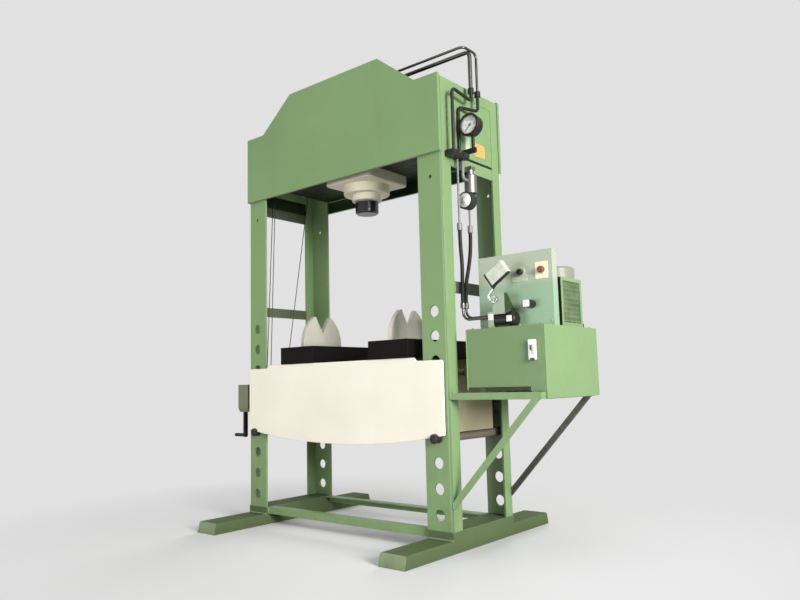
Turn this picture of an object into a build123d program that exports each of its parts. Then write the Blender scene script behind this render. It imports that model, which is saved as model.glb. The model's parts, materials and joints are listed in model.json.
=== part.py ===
"""A hydraulic power press: a four-column frame, an overhead ram, a pinned lifting table and a power unit."""
from build123d import *
from math import asin, atan2, cos, hypot, pi, radians, sin
import os

# Fits and clearances
running_clearance = 0.05
rest_gap = 0.3
overrun = 5.0

# Frame: columns, feet and ties
frame_width = 1390.0
frame_depth = 500.0
column_width = 142.0
column_flange = 70.0
column_wall = 10.0
column_bend_radius = 14.0
hole_pitch = 113.0
hole_count = 9
lowest_hole_height = 158.0
hole_diameter = 52.0
stop_hole_drop = 110.0
stop_hole_diameter = 18.0
foot_width = 140.0
foot_height = 56.0
foot_length = 1176.0
foot_end_slant = 14.0
foot_edge_radius = 8.0
pad_height = 36.0
tie_height = 54.0
tie_drop = 3.0
lower_tie_drop = 655.0
floor_tie_width = 44.0
floor_tie_wall = 6.0
floor_tie_setback = 15.0

# Head
head_bottom = 1800.0
head_height = 375.0
crown_rise = 180.0
crown_half_width = 325.0
slope_foot_half_width = 555.0
head_plate = 15.0
column_top_drop = 12.0
bottom_plate_rise = 70.0
bottom_plate = 25.0
bottom_plate_end_gap = 2.0
end_plate = 10.0
end_plate_recess = 2.0
end_plate_groove = 14.0
end_plate_groove_depth = 6.0
rib_offset = 210.0
rib_thickness = 16.0
rib_height = 380.0
rib_rope_hole_diameter = 40.0

# Cylinder and ram
bore_diameter = 180.0
barrel_diameter = 230.0
barrel_height = 400.0
barrel_crown = 30.0
flange_width = 322.0
flange_thickness = 58.0
flange_corner_radius = 22.0
flange_edge = 6.0
gland_diameter = 250.0
gland_height = 48.0
neck_diameter = 160.0
neck_height = 35.0
gland_chamfer = 4.0
ram_diameter = 120.0
piston_height = 82.0
piston_top_gap = 6.0
piston_spigot_diameter = 80.0
nose_diameter = 126.0
nose_height = 64.0
nose_chamfer = 8.0
nose_socket_depth = 34.0
nose_gap = 6.0
ram_spigot_diameter = 84.0
flange_bolt_rows = 3
flange_bolt_pitch = 137.0
bolt_head_height = 12.0
barrel_wall_share = 0.3
bolt_head_diameter = 30.0

# Table
cheek_thickness = 16.0
cheek_clearance = 4.0
cheek_end_inset = 23.0
cheek_rise = 359.0
cheek_shoulder_drop = 16.0
cheek_shoulder_half = 508.0
cheek_shoulder_ramp = 14.0
cheek_end_rise = 9.0
cheek_bow = 56.0
cheek_corner_radius = 7.0
pin_diameter = 42.0
pin_hole_index = 3
drum_hole_index_share = 4.5
pin_front_reach = 16.0
pin_rear_reach = 20.0
pin_chamfer = 4.0
notch_clearance = 2.0
spreader_thickness = 20.0
spreader_gap = 10.0
spreader_rise = 14.0
spreader_drop = 56.0
end_box_setback = 100.0
end_box_gap = 30.0
end_box_wall = 10.0
end_box_rise = 9.0
end_box_radius = 12.0
anchor_drop = 12.0
anchor_diameter = 24.0
anchor_inset = 25.0
window_front = -136.0
window_width = 64.0
window_height = 42.0
slab_width = 250.0
slab_height = 90.0
slab_overhang = 6.0
slab_left_centre = -275.0
slab_right_centre = 362.0
slab_edge_radius = 3.0
vee_width = 280.0
vee_height = 167.0
vee_horn_spacing = 112.0
vee_groove_height = 78.0
vee_thickness = 24.0
vee_left_centre = -283.0
vee_left_setback = -82.0
vee_right_centre = 257.0
vee_right_setback = 3.0
vee_tip_share = 0.05
vee_bulge_share = 0.08
vee_side_share = 0.72
vee_side_height_share = 0.5

# Winch, pulleys and ropes
rope_diameter = 5.0
drum_diameter = 44.0
drum_flange_diameter = 64.0
drum_length = 92.0
drum_flange_width = 5.0
drum_inset = 10.0
drum_setback = 45.0
drum_shaft_diameter = 20.0
drum_ridge_share = 0.4
drum_turn_share = 1.6
gear_module = 2.0
gear_teeth = 52
pinion_teeth = 12
gear_width = 18.0
gear_backlash = 0.5
pinion_extra_width = 4.0
gear_root_share = 1.2
gear_tip_share = 0.9
root_width_share = 1.45
tip_width_share = 0.5
winch_depth = 118.0
winch_width = 81.0
winch_wall = 3.0
winch_base = 4.0
winch_below = 64.5
winch_above = 88.5
winch_corner_radius = 22.0
winch_taper = 12.0
winch_boss = 14.0
crank_shaft_diameter = 18.0
crank_arm_width = 24.0
crank_arm_thickness = 12.0
crank_arm_length = 262.0
crank_arm_gap = 16.0
arm_round_share = 0.48
crank_grip_length = 84.0
crank_grip_diameter = 20.0
grip_edge_share = 0.12
pulley_diameter = 70.0
pulley_rim_height = 7.0
pulley_width = 14.0
pulley_pin_diameter = 16.0
pulley_head_diameter = 26.0
pulley_head = 5.0
pulley_rise = 72.0
rope_front_rise = 62.5
rope_left_inset = 55.0
rope_rear_inset = 85.0
rope_left_foot = -28.0
rope_cross_inset = 90.0
rope_cross_depth = 120.0

# Hydraulic pipes, gauge, valve and hoses at the right end
pressure_pipe_diameter = 20.0
return_pipe_diameter = 13.0
pipe_bend = 26.0
port_bend = 24.0
pipe_kink = 6.0
return_first_bend = 20.0
port_height = 15.0
port_diameter = 40.0
pressure_port_offset = 60.0
pressure_run_rise = 60.0
return_run_rise = 66.0
return_port_rise = 55.0
return_rise_offset = 112.0
return_boss_reach = 130.0
return_boss_diameter = 28.0
pipe_drop_reach = 45.0
pressure_drop_setback = -56.0
return_drop_setback = 0.0
pipe_junction_drop = 33.0
black_pipe_diameter = 16.0
black_pipe_bend = 20.0
junction_diameter = 30.0
junction_height = 26.0
loop_upper_drop = 42.0
loop_front_setback = -214.0
loop_lower_drop = 99.0
loop_inner_reach = 8.0
loop_inner_setback = -114.0
loop_bend = 16.0
block_height = 28.0
block_rise = 6.0
block_reach = 56.0
block_front = -226.0
block_rear = -102.0
block_edge_share = 0.4
feed_seat = 4.0
gauge_diameter = 110.0
gauge_depth = 50.0
gauge_wall = 4.0
gauge_rim = 7.0
gauge_rim_step = 3.0
gauge_rim_length = 16.0
gauge_glass_thickness = 3.0
gauge_glass_depth = 5.0
gauge_dial_depth = 16.0
gauge_reach = 75.0
gauge_front = -136.0
gauge_rise = 136.0
gauge_stem_diameter = 16.0
gauge_bracket = 12.0
gauge_bracket_height = 24.0
gauge_bracket_drop = 130.0
gauge_foot = 8.0
pointer_length = 36.0
pointer_width = 6.0
pointer_thickness = 1.6
pointer_hub_diameter = 12.0
pointer_pin_diameter = 4.0
pointer_spindle = 4.0
pointer_tail_share = 0.3
pointer_tip_share = 0.15
pointer_rest_degrees = 45.0
relief_reach = 21.0
relief_setback = -50.0
relief_diameter = 60.0
relief_drop = 82.0
relief_height = 94.0
relief_neck_diameter = 34.0
relief_bracket_height = 16.0
relief_knob_diameter = 82.0
relief_knob_depth = 44.0
relief_knob_front = -106.0
relief_knob_drop = 37.0
feed_drop = 30.0
thin_pipe_diameter = 10.0
hose_diameter = 18.0
hose_socket_diameter = 24.0
hose_socket_length = 34.0
lower_socket_length = 24.0
hose_top_drop = 151.0
hose_low_rise = 128.0
hose_bend_share = 0.45
stub_diameter = 12.0
stub_bend = 36.0
stub_left_setback = -147.0
stub_right_setback = -121.0
stub_left_rise = 50.0
stub_right_rise = 58.0

# Hose bends, top to bottom, chosen by hand: (reach past the frame, y), and the share of the height at each
hose_left_bends = [(19.0, -152.0), (19.0, -152.0), (21.0, -144.0), (19.0, -147.0), (19.0, -147.0)]
hose_right_bends = [(19.0, -66.0), (19.0, -66.0), (23.0, -92.0), (19.0, -121.0), (19.0, -121.0)]
hose_height_shares = [1.0, 0.8, 0.52, 0.24, 0.0]

# Shelf and power unit
shelf_bar = 30.0
shelf_wall = 4.0
shelf_drop = 1108.0
shelf_length = 455.0
shelf_setback = 5.0
brace_width = 26.0
brace_thickness = 12.0
brace_foot = 185.0
brace_inset = 14.0
tank_gap = 70.0
tank_length = 390.0
tank_front = -205.0
tank_rear = 285.0
tank_foot_height = 22.0
tank_height = 256.0
tank_wall = 4.0
tank_skirt_drop = 28.0
tank_foot_width = 26.0
tank_wide_foot_width = 68.0
tank_foot_setback = 80.0
tank_foot_inset = 12.0
level_inset = 72.0
level_width = 31.0
level_rise = 108.0
level_height = 86.0
level_depth = 14.0
level_window_width = 9.0
level_window_height = 40.0
level_window_depth = 5.0
level_corner_radius = 4.0
filler_inset = 70.0
filler_setback = 258.0
filler_diameter = 44.0
filler_neck_diameter = 30.0
filler_height = 16.0
filler_neck_height = 8.0
motor_inset = 127.0
motor_setback = 160.0
motor_diameter = 150.0
motor_fin_height = 6.0
motor_fin_count = 32
motor_fin_width = 3.0
motor_bore_diameter = 100.0
motor_wall = 10.0
bell_diameter = 160.0
bell_height = 75.0
bell_wall = 8.0
bell_window_low = 18.0
motor_height = 142.0
cowl_height = 64.0
cowl_wall = 3.0
cowl_diameter = 170.0
cowl_slot_count = 16
cowl_slot_width = 5.0
cowl_vent_share = 0.62
cowl_edge = 8.0
cowl_hub_share = 0.2
fan_clear_share = 0.9
rotor_gap = 2.0
shaft_diameter = 24.0
coupling_diameter = 60.0
coupling_height = 36.0
fan_diameter = 120.0
fan_height = 24.0
fan_blade = 3.0
fan_blade_count = 7
fan_lift = 4.0
pump_diameter = 100.0
pump_height = 150.0
pump_shaft_depth = 60.0
strainer_diameter = 76.0
strainer_height = 60.0
strainer_neck = 20.0
suction_diameter = 30.0
starter_inset = 13.0
starter_width = 30.0
starter_front = -15.0
starter_rear = 180.0
starter_height = 216.0
starter_rim = 16.0
starter_recess = 6.0
starter_slat_count = 9
starter_slat_height = 6.0
slat_reach_share = 0.35
starter_corner_radius = 4.0

# Control panel and hand valve
panel_left_inset = 9.0
panel_right_inset = 5.0
panel_front = -100.0
panel_depth = 40.0
panel_height = 330.0
panel_corner_radius = 4.0
button_diameter = 28.0
button_height = 14.0
button_stem_diameter = 12.0
button_stem = 16.0
button_travel = 4.0
button_collar_diameter = 34.0
button_collar = 4.0
button_round_share = 0.3
start_inset = 153.0
stop_inset = 51.0
button_rise = 242.0
selector_inset = 104.0
selector_rise = 97.0
selector_diameter = 36.0
selector_length = 40.0
selector_grip = 33.0
selector_grip_depth = 15.0
grip_corner_share = 0.1
selector_stem = 14.0
selector_stem_diameter = 12.0
valve_setback = -150.0
valve_inset = 125.0
valve_length = 102.0
valve_diameter = 70.0
valve_eye_reach = 83.0
valve_eye = 27.0
valve_eye_depth = 8.0
valve_nose_share = 0.6
saddle_share = 0.7
port_block_width = 28.0
valve_block_overlap = 3.0
valve_block_width = 61.0
valve_block_depth = 70.0
valve_block_height = 80.0
valve_block_crest = 24.0
valve_block_heel = 12.0
manifold_seat = 12.0
lever_pivot_inset = 16.0
lever_pivot_rise = 122.0
lever_pin_diameter = 12.0
lever_pin_head = 20.0
lever_pin_cap = 4.0
lever_thickness = 12.0
lever_boss_diameter = 28.0
lever_rod_diameter = 11.0
lever_bend = 14.0
lever_gap = 2.0
lever_reach = 52.0
lever_dip = 4.0
lever_rise = 80.0
lever_lean = -13.5
shank_share = 0.55
grip_length = 100.0
grip_width = 66.0
grip_depth = 30.0
grip_tilt_degrees = 34.0
grip_radius = 5.0
grip_clip = 10.0
grip_shift_share = 0.25
grip_lift = 4.0

# Places worked out from the driving dimensions
half_width = frame_width / 2
half_depth = frame_depth / 2
shoulder_height = head_bottom + head_height
crown_height = shoulder_height + crown_rise
bottom_plate_height = head_bottom + bottom_plate_rise
barrel_top = bottom_plate_height + barrel_height
plate_top = bottom_plate_height + bottom_plate
stop_hole_height = head_bottom - stop_hole_drop
lower_tie_height = head_bottom - lower_tie_drop
tie_top = head_bottom - tie_drop
column_inner = half_width - column_width
column_centre = half_width - column_width / 2
flange_edge_depth = half_depth - column_flange
column_base = foot_height + pad_height
column_top = shoulder_height - column_top_drop
head_outer = half_depth + head_plate
cheek_inner = half_depth + cheek_clearance
cheek_outer = cheek_inner + cheek_thickness
pin_radius = pin_diameter / 2
pin_hole_height = lowest_hole_height + pin_hole_index * hole_pitch
pin_height = pin_hole_height - (hole_diameter / 2 - pin_radius - rest_gap)
pin_top = pin_height + pin_radius
cheek_top = pin_hole_height + cheek_rise
cheek_end_bottom = pin_hole_height + cheek_end_rise
spreader_bottom = cheek_end_bottom + spreader_rise
spreader_top = cheek_top - spreader_drop
end_box_bottom = cheek_end_bottom + end_box_rise
end_box_reach = half_width - end_box_gap
end_box_half_depth = half_depth - end_box_setback
anchor_height = spreader_top - anchor_drop
slab_bottom = cheek_top
slab_top = slab_bottom + slab_height
flange_bottom = bottom_plate_height - flange_thickness
gland_bottom = flange_bottom - gland_height
neck_bottom = gland_bottom - neck_height
nose_top = neck_bottom - nose_gap
nose_bottom = nose_top - nose_height
bore_top = barrel_top - barrel_crown
piston_top = bore_top - piston_top_gap
piston_bottom = piston_top - piston_height
end_plate_outer = half_width - end_plate_recess
end_plate_inner = end_plate_outer - end_plate
drum_height = lowest_hole_height + drum_hole_index_share * hole_pitch
drum_y = -half_depth + drum_setback
drum_left = -half_width + column_wall + drum_inset
drum_wrap_radius = drum_diameter / 2 + rope_diameter * drum_ridge_share + rest_gap + rope_diameter / 2
drum_rope_y = drum_y + drum_wrap_radius
gear_radius = gear_module * gear_teeth / 2
pinion_radius = gear_module * pinion_teeth / 2
crank_height = drum_height + gear_radius + pinion_radius + gear_backlash / 2
winch_bottom = drum_height - winch_below
winch_top = drum_height + winch_above
winch_inner = -half_width - winch_base
winch_outer = winch_inner - winch_width
gear_centre_x = winch_outer + winch_wall + gear_width
pulley_rope_radius = pulley_diameter / 2 + rope_diameter / 2
pulley_height = bottom_plate_height + pulley_rise
rope_left_rear = half_depth - rope_rear_inset
rope_cross_setback = -half_depth + rope_cross_depth
rope_left_offset = half_width - rope_left_inset
rope_cross_offset = half_width - rope_cross_inset
rope_front_y = drum_rope_y + rope_front_rise
anchor_x = end_box_reach - anchor_inset
cross_right_centre = anchor_x - pulley_rope_radius
cross_left_centre = -rope_cross_offset + pulley_rope_radius
rope_end_height = anchor_height + anchor_diameter / 2
pressure_run_height = barrel_top + pressure_run_rise
return_run_height = barrel_top + return_run_rise
return_port_height = bottom_plate_height + return_port_rise
pipe_drop_offset = half_width + pipe_drop_reach
pipe_junction_height = shoulder_height - pipe_junction_drop
loop_upper_height = pipe_junction_height - loop_upper_drop
loop_lower_height = pipe_junction_height - loop_lower_drop
loop_inner_offset = half_width + loop_inner_reach
block_top = head_bottom + block_rise
block_bottom = block_top - block_height
gauge_offset = half_width + gauge_reach
gauge_height = head_bottom + gauge_rise
relief_offset = half_width + relief_reach
relief_top = head_bottom - relief_drop
relief_bottom = relief_top - relief_height
relief_knob_height = relief_bottom - relief_knob_drop
feed_height = relief_top - feed_drop
shelf_top = head_bottom - shelf_drop
shelf_reach = half_width + shelf_length
tank_left = half_width + tank_gap
tank_right = tank_left + tank_length
tank_bottom = shelf_top + tank_foot_height
tank_top = tank_bottom + tank_height
tank_skirt = shelf_top - tank_skirt_drop
level_left = tank_right - level_inset
level_bottom = tank_bottom + level_rise
filler_offset = tank_right - filler_inset
motor_offset = tank_right - motor_inset
starter_right = tank_right - starter_inset
starter_left = starter_right - starter_width
starter_top = tank_top + starter_height
panel_left = tank_left + panel_left_inset
panel_right = tank_right - panel_right_inset
panel_top = tank_top + panel_height
start_offset = panel_right - start_inset
stop_offset = panel_right - stop_inset
button_level = tank_top + button_rise
selector_offset = panel_right - selector_inset
selector_level = tank_top + selector_rise
valve_left = panel_left + valve_inset
valve_eye_offset = valve_left + valve_eye_reach
port_block_left = valve_left - port_block_width
valve_block_left = valve_left - valve_block_overlap
lever_pivot_offset = valve_block_left + lever_pivot_inset
lever_pivot_height = tank_top + lever_pivot_rise
stub_left_run = tank_top + stub_left_rise
stub_right_run = tank_top + stub_right_rise
hose_top = relief_knob_height - hose_top_drop
hose_low = tank_top + hose_low_rise
bell_top = tank_top + bell_height
motor_top = bell_top + motor_height
cowl_top = motor_top + cowl_height


# Basic forms
def block(x0, x1, y0, y1, z0, z1):
    centre = Pos((x0 + x1) / 2, (y0 + y1) / 2, (z0 + z1) / 2)
    return centre * Box(x1 - x0, y1 - y0, z1 - z0)


def rod(start, end, diameter):
    """A round bar from one point to another."""
    span = Vector(*end) - Vector(*start)
    return Solid.make_cylinder(diameter / 2, span.length, Plane(origin=start, z_dir=span))


def turned(profile):
    """A solid turned about Z from (radius, height) points."""
    face = make_face(Plane.XZ * Polyline(*profile, close=True))
    return revolve(face, Axis.Z)


def plate_xz(outline, y0, y1):
    """An outline of edges drawn in X and Z, given a thickness along Y."""
    face = make_face(Plane.XZ * outline)
    return Pos(0, y0, 0) * extrude(face, amount=y1 - y0, dir=(0, 1, 0))


def plate_yz(outline, x0, x1):
    face = make_face(Plane.YZ * outline)
    return Pos(x0, 0, 0) * extrude(face, amount=x1 - x0, dir=(1, 0, 0))


def rounded_plate(width, height, thickness, radius):
    """A flat plate in X and Y with round corners, its lower face at zero."""
    return extrude(RectangleRounded(width, height, radius), amount=thickness)


def pipe(points, bend, diameter):
    """A round pipe along straight runs joined by bends."""
    path = FilletPolyline(*points, radius=bend)
    section = Plane(origin=path @ 0, z_dir=path % 0) * Circle(diameter / 2)
    return sweep(section, path=path)


def stud(diameter, height):
    """A round bar about Z, its lower face at zero."""
    return Cylinder(diameter / 2, height, align=(Align.CENTER, Align.CENTER, Align.MIN))


def hexagon_bar(diameter, height):
    return extrude(RegularPolygon(diameter / 2, 6), amount=height)


def mirror_x(part):
    return mirror(part, about=Plane.YZ)


def mirror_y(part):
    return mirror(part, about=Plane.XZ)


nodes = {}


def add(name, *solids):
    """Store one node, as a single piece or as a group of separate pieces."""
    nodes[name] = solids[0] if len(solids) == 1 else Compound(children=list(solids))


# Columns: folded angles with a wide plate in front, a row of pin holes and a flange at the outer side
def column_angle():
    """The front right column."""
    outer = Rectangle(column_width, column_flange)
    bend_corner = outer.vertices().group_by(Axis.Y)[0].sort_by(Axis.X)[-1]
    outer = fillet(bend_corner, column_bend_radius)
    profile = outer - Pos(-column_wall, column_wall) * Rectangle(column_width, column_flange)
    column = extrude(profile, amount=column_top - column_base)
    centre_y = -half_depth + column_flange / 2
    column = Pos(column_centre, centre_y, column_base) * column
    web_outside = -half_depth - overrun
    web_inside = -half_depth + column_wall + overrun
    for index in range(hole_count):
        height = lowest_hole_height + index * hole_pitch
        hole_start = (column_centre, web_outside, height)
        column -= rod(hole_start, (column_centre, web_inside, height), hole_diameter)
    stop_start = (column_centre, web_outside, stop_hole_height)
    column -= rod(stop_start, (column_centre, web_inside, stop_hole_height), stop_hole_diameter)
    return column


def make_columns():
    front_right = column_angle()
    front_left = mirror_x(front_right)
    shaft_hole = rod(
        (-half_width - overrun, drum_y, drum_height),
        (-half_width + column_wall + overrun, drum_y, drum_height),
        drum_shaft_diameter + 2 * running_clearance,
    )
    add("column_front_right", front_right)
    add("column_front_left", front_left - shaft_hole)
    add("column_rear_right", mirror_y(front_right))
    add("column_rear_left", mirror_x(mirror_y(front_right)))


# Feet: flat bars with slanted ends, and a pad under each pair of columns
def foot_bar():
    half_length = foot_length / 2
    outline = Polyline(
        (-half_length, 0),
        (half_length, 0),
        (half_length - foot_end_slant, foot_height),
        (-half_length + foot_end_slant, foot_height),
        close=True,
    )
    bar = plate_yz(outline, half_width - foot_width, half_width)
    long_top_edges = bar.edges().filter_by(Axis.Y).group_by(Axis.Z)[-1]
    bar = fillet(long_top_edges, foot_edge_radius)
    pad_bottom = foot_height - foot_edge_radius
    pad = block(column_inner, half_width, -half_depth, half_depth, pad_bottom, column_base)
    return bar + pad


def make_feet():
    right = foot_bar()
    add("foot_right", right)
    add("foot_left", mirror_x(right))


# Ties: flat bars between the flanges and two angles on the floor
def make_ties():
    ties = []
    for bottom in (lower_tie_height, tie_top - tie_height):
        tie = block(
            half_width - column_wall, half_width,
            -flange_edge_depth, flange_edge_depth,
            bottom, bottom + tie_height,
        )
        ties += [tie, mirror_x(tie)]
    front = -half_depth + floor_tie_setback
    angle = Polyline(
        (front, foot_height),
        (front + floor_tie_wall, foot_height),
        (front + floor_tie_wall, column_base - floor_tie_wall),
        (front + floor_tie_width, column_base - floor_tie_wall),
        (front + floor_tie_width, column_base),
        (front, column_base),
        close=True,
    )
    floor_tie = plate_yz(angle, -column_inner, column_inner)
    add("frame_ties", *ties, floor_tie, mirror_y(floor_tie))


# Head: two gabled plates, a bottom plate that carries the cylinder, end plates and ribs
def make_head():
    outline = Polyline(
        (-half_width, head_bottom),
        (half_width, head_bottom),
        (half_width, shoulder_height),
        (slope_foot_half_width, shoulder_height),
        (crown_half_width, crown_height),
        (-crown_half_width, crown_height),
        (-slope_foot_half_width, shoulder_height),
        (-half_width, shoulder_height),
        close=True,
    )
    front = plate_xz(outline, -head_outer, -half_depth)
    add("head_front_plate", front)
    add("head_rear_plate", mirror_y(front))
    plate_half = column_inner - bottom_plate_end_gap
    floor = block(-plate_half, plate_half, -half_depth, half_depth, bottom_plate_height, plate_top)
    floor -= rod(
        (0, 0, bottom_plate_height - overrun),
        (0, 0, plate_top + overrun),
        barrel_diameter + 2 * running_clearance,
    )
    rib = block(
        rib_offset, rib_offset + rib_thickness,
        -half_depth, half_depth,
        plate_top, plate_top + rib_height,
    )
    rope_height = pulley_height + pulley_rope_radius
    rib -= rod(
        (rib_offset - overrun, rope_cross_setback, rope_height),
        (rib_offset + rib_thickness + overrun, rope_cross_setback, rope_height),
        rib_rope_hole_diameter,
    )
    end = block(
        end_plate_inner, end_plate_outer,
        -flange_edge_depth, flange_edge_depth,
        tie_top, column_top,
    )
    end -= block(
        end_plate_outer - end_plate_groove_depth, end_plate_outer + overrun,
        -flange_edge_depth - overrun, flange_edge_depth + overrun,
        tie_top - overrun, tie_top + end_plate_groove,
    )
    tab = block(
        end_plate_outer, half_width,
        -flange_edge_depth, flange_edge_depth,
        column_top - tie_height, column_top,
    )
    end += tab
    add("head_web_plates", floor, rib, mirror_x(rib), end, mirror_x(end))


# Cylinder with its square flange, screwed gland, bolts from above and the ram inside
def make_cylinder():
    barrel = turned([
        (bore_diameter / 2, flange_bottom),
        (barrel_diameter / 2, flange_bottom),
        (barrel_diameter / 2, barrel_top),
        (0, barrel_top),
        (0, bore_top),
        (bore_diameter / 2, bore_top),
    ])
    half_flange = flange_width / 2
    flange = block(-half_flange, half_flange, -half_flange, half_flange, flange_bottom, bottom_plate_height)
    flange = fillet(flange.edges().filter_by(Axis.Z), flange_corner_radius)
    flange = chamfer(flange.edges().group_by(Axis.Z)[0], flange_edge)
    barrel += flange - rod((0, 0, flange_bottom - overrun), (0, 0, barrel_top), bore_diameter)
    port_at = (pressure_port_offset, -pressure_port_offset, barrel_top)
    port_end = (pressure_port_offset, -pressure_port_offset, barrel_top + port_height)
    barrel += rod(port_at, port_end, port_diameter)
    diagonal = cos(radians(45))
    boss_root = diagonal * (barrel_diameter / 2 - barrel_wall_share * (barrel_diameter - bore_diameter))
    boss_end = diagonal * return_boss_reach
    barrel += rod(
        (boss_root, -boss_root, return_port_height),
        (boss_end, -boss_end, return_port_height),
        return_boss_diameter,
    )
    add("cylinder_barrel", barrel)
    ram_hole = ram_diameter / 2 + running_clearance
    gland = turned([
        (ram_hole, neck_bottom),
        (neck_diameter / 2 - gland_chamfer, neck_bottom),
        (neck_diameter / 2, neck_bottom + gland_chamfer),
        (neck_diameter / 2, gland_bottom),
        (gland_diameter / 2 - gland_chamfer, gland_bottom),
        (gland_diameter / 2, gland_bottom + gland_chamfer),
        (gland_diameter / 2, flange_bottom),
        (ram_hole, flange_bottom),
    ])
    add("cylinder_gland", gland)
    bolts = []
    for place in GridLocations(flange_bolt_pitch, flange_bolt_pitch, flange_bolt_rows, flange_bolt_rows):
        if place.position.length > flange_bolt_pitch / 2:
            bolts.append(place * Pos(0, 0, plate_top) * hexagon_bar(bolt_head_diameter, bolt_head_height))
    add("cylinder_bolts", *bolts)


def make_ram():
    spigot_bottom = nose_top - nose_socket_depth
    rod_profile = [
        (0, spigot_bottom),
        (ram_spigot_diameter / 2, spigot_bottom),
        (ram_spigot_diameter / 2, nose_top),
        (ram_diameter / 2, nose_top),
        (ram_diameter / 2, piston_bottom),
        (piston_spigot_diameter / 2, piston_bottom),
        (piston_spigot_diameter / 2, piston_top),
        (0, piston_top),
    ]
    add("ram_rod", turned(rod_profile))
    piston = turned([
        (piston_spigot_diameter / 2, piston_bottom),
        (bore_diameter / 2 - running_clearance, piston_bottom),
        (bore_diameter / 2 - running_clearance, piston_top),
        (piston_spigot_diameter / 2, piston_top),
    ])
    add("piston", piston)
    nose = turned([
        (0, nose_bottom),
        (nose_diameter / 2 - nose_chamfer, nose_bottom),
        (nose_diameter / 2, nose_bottom + nose_chamfer),
        (nose_diameter / 2, nose_top),
        (ram_spigot_diameter / 2, nose_top),
        (ram_spigot_diameter / 2, spigot_bottom),
        (0, spigot_bottom),
    ])
    add("ram_nose", nose)


# Table: bowed cheeks on pins, spreaders, guide boxes, slabs and V-blocks
def make_cheeks():
    half = half_width - cheek_end_inset
    shoulder = cheek_top - cheek_shoulder_drop
    ramp_end = cheek_shoulder_half + cheek_shoulder_ramp
    upper = Polyline(
        (-half, cheek_end_bottom),
        (-half, shoulder),
        (-ramp_end, shoulder),
        (-cheek_shoulder_half, cheek_top),
        (cheek_shoulder_half, cheek_top),
        (ramp_end, shoulder),
        (half, shoulder),
        (half, cheek_end_bottom),
    )
    bow = ThreePointArc(
        (half, cheek_end_bottom),
        (0, cheek_end_bottom - cheek_bow),
        (-half, cheek_end_bottom),
    )
    cheek = plate_xz(upper + bow, -cheek_outer, -cheek_inner)
    ends = cheek.edges().filter_by(Axis.Y)
    corners = ends.group_by(Axis.X)[0] + ends.group_by(Axis.X)[-1]
    cheek = fillet(corners, cheek_corner_radius)
    notch_radius = pin_radius + notch_clearance
    notch_height = pin_top + rest_gap - notch_radius
    for side in (-1, 1):
        x = side * column_centre
        cheek -= rod(
            (x, -cheek_outer - overrun, notch_height),
            (x, -cheek_inner + overrun, notch_height),
            2 * notch_radius,
        )
        cheek -= block(
            x - notch_radius, x + notch_radius,
            -cheek_outer - overrun, -cheek_inner + overrun,
            cheek_end_bottom - cheek_bow, notch_height,
        )
    add("cheek_front", cheek)
    add("cheek_rear", mirror_y(cheek))


def make_table_frame():
    spreader_outer = column_inner - spreader_gap
    spreader = block(
        spreader_outer - spreader_thickness, spreader_outer,
        -cheek_inner, cheek_inner,
        spreader_bottom, spreader_top,
    )
    box_length = end_box_reach - spreader_outer
    outer = Rectangle(box_length, 2 * end_box_half_depth)
    outer = fillet(outer.vertices().group_by(Axis.X)[-1], end_box_radius)
    hollow = Pos(-end_box_wall) * Rectangle(box_length, 2 * (end_box_half_depth - end_box_wall))
    guide = extrude(outer - hollow, amount=spreader_top - end_box_bottom)
    guide = Pos((spreader_outer + end_box_reach) / 2, 0, end_box_bottom) * guide
    guide -= block(
        end_box_reach - end_box_wall - overrun, end_box_reach + overrun,
        window_front, window_front + window_width,
        anchor_height - window_height / 2, anchor_height + window_height / 2,
    )
    bar_end = end_box_half_depth - end_box_wall
    anchor = rod((anchor_x, -bar_end, anchor_height), (anchor_x, bar_end, anchor_height), anchor_diameter)
    right = [spreader, guide, anchor]
    add("table_frame", *right, *[mirror_x(piece) for piece in right])


def make_slab(centre):
    reach = cheek_outer + slab_overhang
    slab = block(
        centre - slab_width / 2, centre + slab_width / 2,
        -reach, reach, slab_bottom, slab_top,
    )
    return fillet(slab.edges(), slab_edge_radius)


def make_vee(centre, setback):
    """A block with two pointed horns that curve in from its foot to either side of a groove."""
    half = vee_width / 2
    horn = vee_horn_spacing / 2
    apex_height = slab_top + vee_height
    bulge = horn + vee_side_share * (half - horn)
    bulge_height = slab_top + vee_side_height_share * vee_height
    tip = horn - vee_tip_share * horn
    tip_out = horn + vee_tip_share * horn
    bulge_out = bulge + vee_bulge_share * half
    side = ThreePointArc((half, slab_top), (bulge_out, bulge_height), (tip_out, apex_height))
    lip = Line((tip_out, apex_height), (tip, apex_height))
    groove = Polyline((tip, apex_height), (0, slab_top + vee_groove_height), (-tip, apex_height))
    other_lip = Line((-tip, apex_height), (-tip_out, apex_height))
    other_side = ThreePointArc(
        (-tip_out, apex_height),
        (-bulge_out, bulge_height),
        (-half, slab_top),
    )
    foot = Line((-half, slab_top), (half, slab_top))
    outline = side + lip + groove + other_lip + other_side + foot
    solid = plate_yz(outline, centre - vee_thickness / 2, centre + vee_thickness / 2)
    return Pos(0, setback, 0) * solid


def make_pin(x):
    front = -cheek_outer - pin_front_reach
    rear = cheek_outer + pin_rear_reach
    pin = rod((x, front, pin_height), (x, rear, pin_height), pin_diameter)
    return chamfer(pin.edges().filter_by(GeomType.CIRCLE), pin_chamfer)


def make_table():
    make_cheeks()
    make_table_frame()
    add("slab_left", make_slab(slab_left_centre))
    add("slab_right", make_slab(slab_right_centre))
    add("v_block_left", make_vee(vee_left_centre, vee_left_setback))
    add("v_block_right", make_vee(vee_right_centre, vee_right_setback))
    add("pin_left", make_pin(-column_centre))
    add("pin_right", make_pin(column_centre))


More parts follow.
